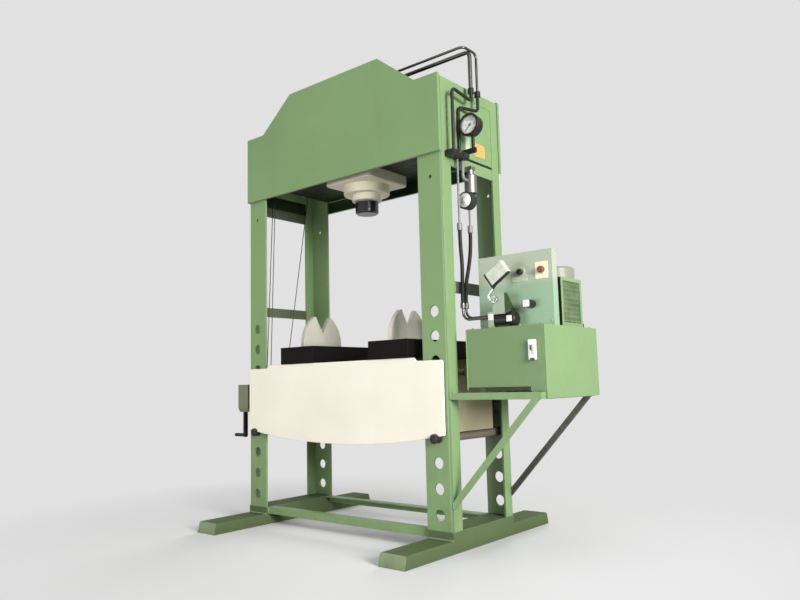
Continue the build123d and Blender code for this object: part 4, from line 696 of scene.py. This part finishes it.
def rubber_hose(name):
    """A rubber hose with a faint wrapped-cloth pattern."""
    shader = Shader(name)
    wave = shader.node("ShaderNodeTexWave", wave_type="BANDS", bands_direction="Z",
                       Scale=210.0, Distortion=0.6)
    shader.link(shader.position(), wave.inputs["Vector"])
    dusty = shader.times(shader.pattern("hose_dust"), HOSE_DUST_SHARE)
    tone = shader.mix(dusty, RUBBER, scaled(RUBBER, 3.0))
    return shader.finish(tone, 0.5, wave.outputs["Fac"], 0.25, 0.0004, shine=0.25)


def clear_glass(name):
    """Thin glass that lets the light through to the dial."""
    shader = Shader(name)
    haze = shader.spread(shader.noise(30.0, 3.0), 0.4, 0.8, 0.03, 0.07)
    shader.link(haze, shader.bsdf.inputs["Roughness"])
    shader.bsdf.inputs["Base Color"].default_value = (1.0, 1.0, 1.0, 1)
    shader.bsdf.inputs["Alpha"].default_value = 0.10
    return shader.made


def panel_paint(name):
    """The pale control panel: a lighter, dustier band across its top."""
    shader = Shader(name)
    tone = shader.mix(shader.pattern("panel_cloud"), scaled(PANEL_GREEN, 0.92), scaled(PANEL_GREEN, 1.06))
    wander = shader.times(shader.noise(7.0, 3.0), 0.03)
    level = shader.maths("ADD", height_of(shader), wander)
    band = shader.ramp(shader.maths("SUBTRACT", level, PANEL_BAND_LOW - 0.5), 0.49, 0.52)
    tone = shader.mix(band, tone, PANEL_BAND)
    edge_wear = shader.times(shader.edge_mask(0.003), 1.8)
    tone = shader.mix(edge_wear, tone, WHITE)
    return shader.finish(tone, 0.44, shader.noise(260.0, 2.0), 0.08, 0.0003, 0.002)


def make_materials():
    enamel = (GREEN, GREEN_DEEP, GREEN_WORN)
    dark_black, worn_black = scaled(BLACK, 0.5), scaled(BLACK, 4.0)
    return {
        "green": paint("green_paint", *enamel, dust_and_shade=0.22),
        # Columns: darker towards the floor as painted shade besides dirt, with inner faces and pin-hole
        # walls painted darker as shade
        "column": paint("column_paint", *enamel, dust_and_shade=0.65,
                        patch=(column_inside_shade, scaled(GREEN, 0.58))),
        # The feet in a darker green as painted shade, with paler end faces
        "foot": paint("foot_paint", FOOT_GREEN_SHADED, scaled(FOOT_GREEN_SHADED, 0.5), GREEN_WORN, 0.62,
                      dust_and_shade=0.10, shine=0.1, patch=(foot_ends, FOOT_END)),
        "tank": paint("tank_paint", *enamel, patch=(tank_front_shade, TANK_FRONT_SHADE)),
        # The shelf's rear brace and inner faces carry painted shade
        "shelf": paint("shelf_paint", *enamel, patch=(shelf_shade, SHELF_SHADE)),
        "pin": paint("pin_oiled", PIN_BROWN, scaled(PIN_BROWN, 0.5), scaled(STEEL, 0.7), 0.36,
                     patch=(pin_ends, BLACK)),
        "ties": paint("tie_paint", *enamel, dust_and_shade=0.22, patch=(bare_ties, BARE_TIE)),
        # Inside the head's open bottom: painted shade
        "head": paint("head_paint", *enamel, 0.50, grime_and_shade=0.30, shine=0.15,
                      patch=(head_inside_shade, GREEN_DARK)),
        "cover": paint("cover_paint", GREEN_COVER, GREEN_DARK, GREEN_WORN),
        "olive": paint("winch_paint", OLIVE, scaled(OLIVE, 0.5), scaled(OLIVE, 1.8)),
        "cream": paint("cream_paint", CREAM, CREAM_DEEP, CREAM_WORN, 0.46, grime_and_shade=0.22, runs=0.05),
        # Rear cheek and table frame: cream darkened as painted shade
        "cream_shaded": paint("shaded_cream", CREAM_SHADED, scaled(CREAM_SHADED, 0.6), CREAM_WORN, 0.50, grime_and_shade=0.55),
        "panel": panel_paint("panel_paint"),
        "flange": cast("flange_paint", FLANGE, scaled(FLANGE, 0.62), 0.5, 120.0, 0.5, 0.2),
        "vee": cast("ground_casting", VEE_GREY, scaled(VEE_GREY, 0.66), 0.5, 90.0),
        # The right V-block, brightened as painted light
        "vee_lit": cast("ground_casting_lit", VEE_LIT, scaled(VEE_LIT, 0.8), 0.5, 90.0, grime_and_shade=0.2),
        "slab": cast("oiled_slab", SLAB_BLACK, scaled(SLAB_BLACK, 0.5), 0.55, 70.0, 0.08),
        "nose": paint("nose_black", BLACK, dark_black, scaled(STEEL, 0.9), 0.20, 0.005,
                      grime_and_shade=0.2, shine=0.5),
        "chrome": metal("ram_chrome", CHROME, 0.10, 40.0, (1, 1, 14), 0.92, strength=0.02),
        "steel": metal("machined_steel", STEEL, 0.34, 90.0, (1, 1, 6)),
        "dark_steel": metal("dark_steel", DARK_STEEL, 0.42, 80.0),
        "pipe_dark": metal("dark_pipe", DARK_STEEL, 0.30, 50.0, None, 0.85, strength=0.004),
        "rope": metal("rope_wire", ROPE_WIRE, 0.40, 300.0),
        "black": paint("black_paint", BLACK, dark_black, worn_black, 0.36, 0.003, shine=0.3),
        "loop": paint("loop_paint", BLACK, dark_black, worn_black, 0.30, 0.003,
                      shine=0.4, patch=(loop_rods, scaled(STEEL, 0.42))),
        "valve": paint("valve_paint", VALVE_GREY, scaled(VALVE_GREY, 0.6), scaled(VALVE_GREY, 1.3),
                       0.42, 0.003, patch=(block_side_shade, OLIVE_SHADE)),
        "relief": relief_metal("relief_steel"),
        "cowl": plastic("cowl_plastic", COWL, 0.44),
        "dial": plastic("dial_white", DIAL_WHITE, 0.40),
        "pale_plastic": plastic("pale_plastic", WHITE, 0.40),
        "legend": plastic("legend_plate", LEGEND, 0.46),
        "black_plastic": plastic("black_plastic", BLACK, 0.34),
        "red_plastic": plastic("red_plastic", RED, 0.32),
        "stop_plate": plastic("stop_plate", STOP_CREAM, 0.42),
        "amber_plate": amber_plate("amber_plate"),
        "rubber": rubber_hose("hose_rubber"),
        "glass": clear_glass("gauge_glass_clear"),
        "lever": lever_finish("lever_finish"),
    }


MATERIAL_OF_NODES = {
    "column": ("column_front_left", "column_front_right", "column_rear_left", "column_rear_right"),
    "green": ("head_front_plate", "motor_body", "starter_box", "pump", "pulley_pins"),
    "foot": ("foot_left", "foot_right"),
    "tank": ("tank",),
    "shelf": ("shelf_frame",),
    "pin": ("pin_left", "pin_right"),
    "ties": ("frame_ties",),
    "head": ("head_rear_plate", "head_web_plates"),
    "olive": ("winch_housing",),
    "cream": ("cheek_front",),
    "cream_shaded": ("cheek_rear", "table_frame"),
    "panel": ("control_panel",),
    "flange": ("cylinder_barrel", "cylinder_gland"),
    "vee": ("v_block_left",),
    "vee_lit": ("v_block_right",),
    "slab": ("slab_left", "slab_right"),
    "nose": ("ram_nose",),
    "chrome": ("ram_rod",),
    "steel": ("piston", "winch_drum", "motor_rotor", "pulley_left_front", "pulley_left_rear",
              "pulley_cross_left", "pulley_cross_right"),
    "dark_steel": ("cylinder_bolts",),
    "pipe_dark": ("steel_pipes", "valve_pipes"),
    "loop": ("pipe_loop",),
    "black": ("gauge_case", "winch_crank", "valve_body"),
    "valve": ("valve_block",),
    "relief": ("relief_valve",),
    "cowl": ("motor_cowl",),
    "pale_plastic": ("level_gauge",),
    "black_plastic": ("gauge_pointer", "start_button", "selector_knob", "filler_cap"),
    "red_plastic": ("stop_button",),
    "glass": ("gauge_glass",),
    "lever": ("hand_lever",),
}


def dress_nodes(materials):
    for key, names in MATERIAL_OF_NODES.items():
        for name in names:
            mesh = nodes[name].data
            mesh.materials.clear()
            mesh.materials.append(materials[key])


# Mesh helpers
def show(item):
    bpy.context.scene.collection.objects.link(item)


def add_piece(name, mesh, material, body, smooth=False):
    """Link a finished mesh as one piece that rides on a body."""
    mesh.materials.append(material)
    if smooth:
        for face in mesh.polygons:
            face.use_smooth = True
    piece = bpy.data.objects.new(name, mesh)
    show(piece)
    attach(piece, body)
    return piece


def mesh_from(name, build):
    """A mesh made by a function that fills a bmesh."""
    work = bmesh.new()
    build(work)
    bmesh.ops.recalc_face_normals(work, faces=work.faces)
    mesh = bpy.data.meshes.new(name)
    work.to_mesh(mesh)
    work.free()
    return mesh


def built(name, build, material, body, slot, smooth=False):
    """One piece from a function that fills a bmesh."""
    return add_piece(name, mesh_from(name, build), material, body, smooth)


def facing(normal, up=(0, 0, 1)):
    """A turn whose Z points along the normal and whose Y points as far up as it can."""
    out = Vector(normal).normalized()
    upward = Vector(up)
    if abs(out.dot(upward)) > 0.99:
        upward = Vector((0, 1, 0))
    side = upward.cross(out).normalized()
    top = out.cross(side)
    return Matrix((side, top, out)).transposed()


def ring_of(work, centre, turn, radius, height, count):
    """A ring of points around a turned axis."""
    points = []
    for index in range(count):
        angle = 2 * pi * index / count
        local = Vector((radius * cos(angle), radius * sin(angle), height))
        points.append(work.verts.new(Vector(centre) + turn @ local))
    return points


def bridge(work, first, second):
    count = len(first)
    for index in range(count):
        after = (index + 1) % count
        work.faces.new((first[index], first[after], second[after], second[index]))


def skin(work, rings):
    """Faces from each ring of points to the next, closed at both ends."""
    for first, second in zip(rings, rings[1:]):
        bridge(work, first, second)
    work.faces.new(rings[0][::-1])
    work.faces.new(rings[-1])


def stepped_disc(work, centre, normal, steps, count):
    """A turned form about a normal, from (radius, height) steps."""
    turn = facing(normal)
    skin(work, [ring_of(work, centre, turn, radius, height, count) for radius, height in steps])


def sized(profile, radius, height):
    return [(radius * wide, height * tall) for wide, tall in profile]


def grid(xs, ys, zs, way):
    """Places on a grid that all face one way."""
    return [((x, y, z), way) for x in xs for y in ys for z in zs]


def hex_bolts(name, places, across, height, material, body, slot):
    """Hexagon heads on round washers, each at a point on a surface with its normal."""
    def build(work):
        washer = sized(WASHER_PROFILE, across / 2 * WASHER_WIDTH, height * WASHER_RISE)
        head = sized(HEX_PROFILE, across / 2 / cos(pi / 6), height)
        for point, normal in places:
            base = Vector(point) - Vector(normal) * BOLT_SINK
            stepped_disc(work, base, normal, washer, WASHER_SIDES)
            stepped_disc(work, base + Vector(normal) * height * WASHER_RISE, normal, head, 6)
    return built(name, build, material, body, slot)


def round_screws(name, places, diameter, height, material, body, slot):
    """Domed screw heads."""
    def build(work):
        for point, normal in places:
            base = Vector(point) - Vector(normal) * BOLT_SINK
            stepped_disc(work, base, normal, sized(SCREW_PROFILE, diameter / 2, height), SCREW_SIDES)
    return built(name, build, material, body, slot, True)


def label_plate(name, centre, normal, width, height, thickness, corner, material, body, slot):
    """A thin plate with round corners and a softened front edge, set on a surface."""
    def build(work):
        turn = facing(normal)
        origin = Vector(centre) - Vector(normal) * BOLT_SINK
        layers = []
        top = thickness + BOLT_SINK
        for inset, lift in ((0, 0), (0, top - LABEL_EDGE), (LABEL_EDGE, top)):
            points = []
            for x_sign, y_sign, first in ((1, 1, 0), (-1, 1, 90), (-1, -1, 180), (1, -1, 270)):
                for part in range(CORNER_STEPS + 1):
                    angle = radians(first + part * 90 / CORNER_STEPS)
                    x = x_sign * (width / 2 - corner) + (corner - inset) * cos(angle)
                    y = y_sign * (height / 2 - corner) + (corner - inset) * sin(angle)
                    points.append(work.verts.new(origin + turn @ Vector((x, y, lift))))
            layers.append(points)
        skin(work, layers)
    return built(name, build, material, body, slot)


def ring_piece(name, centre, normal, inner, outer, height, material, body, slot):
    """A flat ring with softened edges, set on a surface."""
    def build(work):
        turn = facing(normal)
        origin = Vector(centre) - Vector(normal) * BOLT_SINK
        soft = height * RING_SOFT
        outline = [(inner, 0), (outer, 0), (outer, height - soft), (outer - soft, height),
                   (inner + soft, height), (inner, height - soft)]
        rings = [ring_of(work, origin, turn, radius, lift, RING_SIDES) for radius, lift in outline]
        for first, second in zip(rings, rings[1:] + rings[:1]):
            bridge(work, first, second)
    return built(name, build, material, body, slot, True)


def weld_beads(name, runs, material, body, slot, radius=WELD_RADIUS):
    """Rippled fillet welds along straight runs."""
    def build(work):
        for start, end in runs:
            start, end = Vector(start), Vector(end)
            span = end - start
            turn = facing(span)
            count = max(3, int(span.length / WELD_STEP))
            rings = []
            for index in range(count + 1):
                wave = 1.0 + sum(size * sin(index * rate) for size, rate in WELD_WAVES)
                taper = WELD_END if index in (0, count) else 1.0
                at = start + span * (index / count)
                rings.append(ring_of(work, at, turn, radius * wave * taper, 0, WELD_SIDES))
            skin(work, rings)
    return built(name, build, material, body, slot, True)


# Welds and bolts of the frame
def upright(xs, ys, span):
    """Upright weld runs at each x and y."""
    return [((x, y, span[0]), (x, y, span[1])) for x in xs for y in ys]


def frame_welds(materials):
    low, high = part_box("column_front_right")
    foot_top = low.z - FOOT_PAD_HEIGHT
    head_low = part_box("head_front_plate")[0].z
    runs = []
    for x_sign in (-1, 1):
        near, outer = x_sign * low.x, x_sign * high.x
        for y_sign in (-1, 1):
            face, edge = y_sign * -low.y, y_sign * -high.y
            runs.append(((near, face, head_low), (outer, face, head_low)))
            for z in (SIDE_TIE_LOW, head_low - TOP_TIE_DROP):
                runs += upright((outer,), (edge,), (z, z + TIE_DEPTH))
        for y in (low.y, -low.y):
            runs.append(((near, y, foot_top), (outer, y, foot_top)))
        sides = (low.y + FOOT_WELD_INSET, -low.y - FOOT_WELD_INSET)
        runs += upright((near,), sides, (foot_top, low.z))
    weld_beads("frame_welds", runs, materials["green"], "frame", "frame_green")
    sides = (low.y + SHELF_WELD_INSET, -low.y - SHELF_WELD_INSET)
    runs = [run for span in SHELF_WELD_SPANS for run in upright((high.x,), sides, span)]
    weld_beads("shelf_welds", runs, materials["green"], "frame", "frame_green", SHELF_WELD_RADIUS)


def head_welds(materials):
    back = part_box("head_front_plate")[1].y
    runs = upright(HEAD_RIB_FACES, (back, -back), HEAD_RIB_SPAN)
    for y in (back, -back):
        for start, end in HEAD_FLOOR_SPANS:
            runs.append(((start, y, HEAD_FLOOR_Z), (end, y, HEAD_FLOOR_Z)))
    weld_beads("head_welds", runs, materials["green"], "frame", "frame_green")


def table_welds(materials):
    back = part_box("cheek_front")[1].y
    runs = upright(SPREADER_FACES, (back, -back), SPREADER_SPAN)
    runs += upright(TABLE_BOX_X, TABLE_BOX_Y, TABLE_BOX_SPAN)
    weld_beads("table_welds", runs, materials["cream_shaded"], "table", "table_cream")


def frame_fasteners(materials):
    half_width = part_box("column_front_right")[1].x
    finish = (materials["dark_steel"], "frame", "steel")
    places = grid((-half_width,), TIE_BOLT_Y, (TIE_BOLT_Z,), TO_LEFT)
    hex_bolts("tie_bolts", places, *TIE_BOLT_SIZE, *finish)
    hex_bolts("manifold_bolts", grid(*MANIFOLD_BOLTS, TO_RIGHT), *MANIFOLD_BOLT_SIZE, *finish)
    low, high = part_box("winch_housing")
    sides = (low.y + WINCH_SCREW_INSET, high.y - WINCH_SCREW_INSET)
    places = grid((low.x,), sides, WINCH_SCREW_Z, TO_LEFT)
    round_screws("winch_screws", places, *WINCH_SCREW_SIZE, *finish)


# Pressure gauge dial with plain numbers
def gauge_dial(materials):
    low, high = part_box("gauge_glass")
    centre = Vector(((low.x + high.x) / 2, DIAL_Y, (low.z + high.z) / 2))
    lift = Vector((0, -MARK_RISE, 0))
    black = materials["black_plastic"]

    def ray_at(share):
        angle = radians(DIAL_START - DIAL_SWEEP * share)
        return Vector((cos(angle), 0, sin(angle)))

    def disc(work):
        steps = sized(DIAL_PROFILE, DIAL_RADIUS, 1)
        stepped_disc(work, centre, TO_FRONT, steps, DIAL_SIDES)
    built("gauge_dial", disc, materials["dial"], "frame", "grey_plastic")

    def ticks(work):
        for index in range(DIAL_TICKS + 1):
            inner, half = MINOR_TICK if index % TICKS_PER_NUMBER else MAJOR_TICK
            ray = ray_at(index / DIAL_TICKS)
            side = Vector((-ray.z, 0, ray.x)) * half
            near, far = ray * DIAL_RADIUS * inner, ray * DIAL_RADIUS * TICK_OUTER
            corners = (near - side, far - side, far + side, near + side)
            work.faces.new([work.verts.new(centre + corner + lift) for corner in corners])
    built("gauge_ticks", ticks, black, "frame", "black_plastic")
    last = DIAL_TICKS // TICKS_PER_NUMBER
    for index in range(last + 1):
        at = centre + ray_at(index / last) * DIAL_RADIUS * NUMBER_RING + lift
        number_mark(f"gauge_number_{index}", str(index * NUMBER_STEP), at, NUMBER_SIZE, black)


def number_mark(name, text, place, size, material):
    """One upright number as a thin mesh, facing the front."""
    curve = bpy.data.curves.new(name + "_text", "FONT")
    curve.body = text
    curve.size = size
    curve.align_x = "CENTER"
    curve.align_y = "CENTER"
    curve.resolution_u = 3
    writing = bpy.data.objects.new(name + "_text", curve)
    show(writing)
    bpy.context.view_layer.update()
    mesh = bpy.data.meshes.new_from_object(writing)
    bpy.data.objects.remove(writing)
    mesh.transform(Matrix.Translation(place) @ Matrix.Rotation(radians(90), 4, "X"))
    return add_piece(name, mesh, material, "frame")


# Plates and caps on the panel and valves
def panel_plates(materials):
    for name, place, width, height, corner, material, body, slot in PANEL_PLATES:
        label_plate(name, place, TO_FRONT, width, height, PLATE_THICKNESS, corner,
                    materials[material], body, slot)
    screws = grid(*PANEL_SCREWS, TO_FRONT)
    round_screws("panel_screws", screws, *PANEL_SCREW_SIZE, materials["panel"], "frame", "steel")
    for name, place, inner, outer, material in BUTTON_RINGS:
        ring_piece(name, place, TO_FRONT, inner, outer, BUTTON_RING_HEIGHT,
                   materials[material], "frame", "grey_plastic")

    def knob_face(work):
        stepped_disc(work, RELIEF_FACE, TO_FRONT, RELIEF_FACE_STEPS, RING_SIDES)
    built("relief_face", knob_face, materials["pale_plastic"], "frame", "grey_paint", True)


def end_plate_details(materials):
    """The amber tag with its rivets, the gauge's strap, and a black strip along the head's right end that
    stands in for the shadow in the groove there.
    """
    for name, place, width, height, thickness, corner, material, slot in END_PLATES:
        label_plate(name, place, TO_RIGHT, width, height, thickness, corner,
                    materials[material], "frame", slot)
    rivets = grid(*TAG_RIVETS, TO_RIGHT)
    round_screws("tag_rivets", rivets, *RIVET_SIZE, materials["dark_steel"], "frame", "steel")
    # Black strip of painted shadow in the end plate's groove
    label_plate("end_plate_shade_strip", SHADE_STRIP_PLACE, TO_RIGHT, *SHADE_STRIP_SIZE,
                materials["rubber"], "frame", "black_plastic")


def tank_details(materials):
    low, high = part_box("tank")
    level_low, level_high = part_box("level_gauge")
    middle, face = (level_low.x + level_high.x) / 2, level_low.y
    finish = (materials["black_plastic"], "frame", "black_plastic")
    slot = (middle + LEVEL_OFFSET, face, LEVEL_SLOT_Z)
    label_plate("level_slot", slot, TO_FRONT, *LEVEL_SLOT, *finish)
    tap = (middle + LEVEL_TAP_OFFSET, face, level_low.z + LEVEL_TAP_RISE)
    label_plate("level_tap", tap, TO_FRONT, *LEVEL_TAP, *finish)

    def eye(work):
        centre = (middle + LEVEL_OFFSET, face - LEVEL_EYE_PROUD, LEVEL_EYE_Z)
        stepped_disc(work, centre, TO_FRONT, LEVEL_EYE_STEPS, EYE_SIDES)
    built("level_eye", eye, *finish, True)
    green = (materials["green"], "frame", "frame_green")
    sides = (low.y + LID_BOLT_INSET, high.y - LID_BOLT_INSET)
    hex_bolts("tank_lid_bolts", grid(LID_BOLT_X, sides, (high.z,), TO_TOP), *LID_BOLT_SIZE, *green)
    runs = upright((low.x,), (low.y, high.y), (low.z + TANK_WELD_RISE, high.z))
    sides = (low.y + TANK_WELD_INSET, high.y - TANK_WELD_INSET)
    runs += upright((high.x - TANK_WELD_INSET,), sides, (TANK_WELD_LOW, high.z))
    weld_beads("tank_welds", runs, *green, TANK_WELD_RADIUS)


def starter_cover(materials):
    """The dark ribbed cover in the switch box's recess, and a dark strip on its front that stands in for
    shade in the gap.
    """
    low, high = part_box("starter_box")
    floor = high.x - STARTER_RECESS
    crest = floor + STARTER_RIB_RISE
    start, stop = low.y + STARTER_BORDER, high.y - STARTER_BORDER
    pitch = (stop - start) / STARTER_RIBS
    foot, rise, fall = (pitch * share for share in STARTER_RIB_SHARES)

    def build(work):
        profile = []
        for index in range(STARTER_RIBS):
            at = start + index * pitch
            profile += [(floor, at), (floor, at + foot), (crest, at + rise), (crest, at + fall)]
        profile.append((floor, stop))
        heights = (low.z + STARTER_BORDER, high.z - STARTER_BORDER)
        lower, upper = [[work.verts.new((*point, z)) for point in profile] for z in heights]
        for index in range(len(profile) - 1):
            work.faces.new((lower[index], lower[index + 1], upper[index + 1], upper[index]))
    built("starter_cover", build, materials["cover"], "frame", "frame_green")
    middle = (low + high) / 2
    # A dark strip on the box's front face, standing in for shade in the gap
    label_plate("starter_shade_strip", (middle.x, low.y, middle.z), TO_FRONT, *STARTER_SHADE_STRIP,
                materials["rubber"], "frame", "black_plastic")


# Ropes with twisted strands
def rope_piece(name, paths, material):
    """Stranded rope along smooth point lists."""
    count = ROPE_STRANDS * STRAND_POINTS

    def build(work):
        for points in paths:
            travelled = 0.0
            rings = []
            for index, point in enumerate(points):
                behind = points[max(index - 1, 0)]
                ahead = points[min(index + 1, len(points) - 1)]
                travelled += (point - behind).length
                turn = facing(ahead - behind, ROPE_SIDE)
                twist = 2 * pi * travelled / ROPE_LAY
                ring = []
                for part in range(count):
                    angle = 2 * pi * part / count
                    reach = ROPE_RADIUS * (1 - STRAND_SWELL + STRAND_SWELL * cos(ROPE_STRANDS * angle))
                    local = Vector((cos(angle + twist), sin(angle + twist), 0)) * reach
                    ring.append(work.verts.new(point + turn @ local))
                rings.append(ring)
            skin(work, rings)
    return built(name, build, material, "frame", "rope_steel", True)


def line_points(start, end, skip_first=False):
    start, end = Vector(start), Vector(end)
    count = max(2, int((end - start).length / ROPE_STEP))
    first = 1 if skip_first else 0
    return [start + (end - start) * (index / count) for index in range(first, count + 1)]


def arc_points(centre, ahead, first, last):
    """Points round a pulley between two angles: zero is ahead, and a right angle is the top."""
    count = max(6, int(PULLEY_REACH * abs(radians(last - first)) / ROPE_STEP))
    points = []
    for index in range(1, count + 1):
        angle = radians(first + (last - first) * index / count)
        ray = Vector(ahead) * cos(angle) + Vector(TO_TOP) * sin(angle)
        points.append(Vector(centre) + ray * PULLEY_REACH)
    return points


def pulley_centre(node):
    low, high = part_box(node)
    return (low + high) / 2


def joint_named(name):
    return [joint for joint in frame["joints"] if joint["name"] == name][0]


def ropes(materials):
    drum = Vector(joint_named("drum_turn")["pos_m"])
    drum_y = drum.y + DRUM_REACH
    crown = Vector((0, 0, PULLEY_REACH))
    front, rear = pulley_centre("pulley_left_front"), pulley_centre("pulley_left_rear")
    ahead = Vector((0, 1, 0))
    foot = Vector((front.x, LEFT_FALL_Y, ROPE_END_Z))
    run, drop = rear.y - foot.y, rear.z - foot.z
    lean = degrees(atan2(run, drop) + asin(PULLEY_REACH / hypot(run, drop)))
    left = line_points((front.x, drum_y, drum.z), front - ahead * PULLEY_REACH)
    left += arc_points(front, ahead, 180, 90)
    left += line_points(front + crown, rear + crown, True)
    left += arc_points(rear, ahead, 90, -lean)
    near, far = pulley_centre("pulley_cross_left"), pulley_centre("pulley_cross_right")
    across = Vector((1, 0, 0))
    cross = line_points((near.x - PULLEY_REACH, drum_y, drum.z), near - across * PULLEY_REACH)
    cross += arc_points(near, across, 180, 90)
    cross += line_points(near + crown, far + crown, True)
    cross += arc_points(far, across, 90, 0)
    fall_top = left[-1].z
    fall_left = line_points(left[-1] + ahead * FALL_GAP, foot)
    fall_right = line_points(cross[-1], (cross[-1].x, cross[-1].y, ROPE_END_Z))
    cross += line_points(cross[-1], (cross[-1].x, cross[-1].y, fall_top - ROPE_STEP), True)
    piece = rope_piece("winch_rope_runs", [left, cross], materials["rope"])
    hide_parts("winch_ropes")
    falls = rope_piece("winch_rope_falls", [fall_left, fall_right], materials["rope"])
    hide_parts("rope_falls")
    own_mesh(falls)


# Hoses
def hose(name, route, node, material):
    curve = bpy.data.curves.new(name, "CURVE")
    curve.dimensions = "3D"
    curve.bevel_depth = HOSE_RADIUS
    curve.bevel_resolution = 6
    curve.resolution_u = 24
    curve.use_fill_caps = True
    spline = curve.splines.new("NURBS")
    spline.points.add(len(route) - 1)
    for point, place in zip(spline.points, route):
        point.co = (*place, 1.0)
    spline.order_u = 3
    spline.use_endpoint_u = True
    curve.materials.append(material)
    piece = bpy.data.objects.new(name, curve)
    show(piece)
    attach(piece, "frame")
    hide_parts(node)


# Stage, light and camera
def make_stage():
    """A pale floor that catches the shadow, throws little light back and fades into the backdrop."""
    work = bmesh.new()
    bmesh.ops.create_circle(work, cap_ends=True, radius=FLOOR_RADIUS, segments=96)
    mesh = bpy.data.meshes.new("floor")
    work.to_mesh(mesh)
    work.free()
    floor = bpy.data.objects.new("floor", mesh)
    show(floor)
    shader = Shader("floor_pale")
    distance = shader.node("ShaderNodeVectorMath", operation="LENGTH")
    shader.link(shader.position(), distance.inputs[0])
    share = shader.maths("DIVIDE", distance.outputs["Value"], FLOOR_FADE_UNIT)
    glow = shader.node("ShaderNodeEmission", Color=(*BACKGROUND, 1)).outputs[0]
    dull = shader.node("ShaderNodeBsdfDiffuse", Color=(BOUNCE_SHARE,) * 3 + (1,)).outputs[0]
    pale = shader.node("ShaderNodeBsdfDiffuse", Color=(FLOOR_TONE,) * 3 + (1,)).outputs[0]
    faded = shader.blend(shader.ramp(share, *FLOOR_FADE), pale, glow)
    shader.surface(shader.blend(shader.seen(), dull, faded))
    mesh.materials.append(shader.made)


def make_world():
    """A plain pale backdrop to look at, and even light for the object."""
    shader = Shader("studio", "worlds")
    bpy.context.scene.world = shader.made
    backdrop = shader.node("ShaderNodeBackground", Color=(*BACKGROUND, 1)).outputs[0]
    light = shader.tree.nodes["Background"]
    light.inputs["Color"].default_value = (1.0, 1.0, 1.0, 1)
    light.inputs["Strength"].default_value = AMBIENT
    shader.surface(shader.blend(shader.seen(), light.outputs[0], backdrop))


def area_light(name, place, target, size, power, glare):
    data = bpy.data.lights.new(name, "AREA")
    data.shape = "SQUARE"
    data.size = size
    data.energy = power
    lamp = bpy.data.objects.new(name, data)
    lamp.location = place
    lamp.rotation_euler = (Vector(target) - Vector(place)).to_track_quat("-Z", "Y").to_euler()
    lamp.visible_glossy = glare
    show(lamp)


def make_camera():
    level_share = cos(CAMERA_PITCH)
    ahead = Vector((level_share * sin(CAMERA_YAW), level_share * cos(CAMERA_YAW), sin(CAMERA_PITCH)))
    level = Vector((cos(CAMERA_YAW), -sin(CAMERA_YAW), 0))
    upward = level.cross(ahead)
    right = level * cos(CAMERA_ROLL) + upward * sin(CAMERA_ROLL)
    up = upward * cos(CAMERA_ROLL) - level * sin(CAMERA_ROLL)
    data = bpy.data.cameras.new("camera")
    data.lens = CAMERA_LENS
    data.sensor_width = SENSOR_WIDTH
    data.clip_end = 100.0
    camera = bpy.data.objects.new("camera", data)
    turn = Matrix((right, up, -ahead)).transposed().to_4x4()
    camera.matrix_world = Matrix.Translation(CAMERA_PLACE) @ turn
    show(camera)
    bpy.context.scene.camera = camera


def main():
    bpy.context.scene.view_settings.view_transform = "Standard"
    make_camera()
    make_world()
    for lamp in LAMPS:
        area_light(*lamp)
    make_stage()
    materials = make_materials()
    dress_nodes(materials)
    hose("hose_left_run", HOSE_LEFT_ROUTE, "hose_left", materials["rubber"])
    hose("hose_right_run", HOSE_RIGHT_ROUTE, "hose_right", materials["rubber"])
    for dress in (ropes, frame_welds, head_welds, table_welds, frame_fasteners, gauge_dial,
                  panel_plates, end_plate_details, tank_details, starter_cover):
        dress(materials)


main()
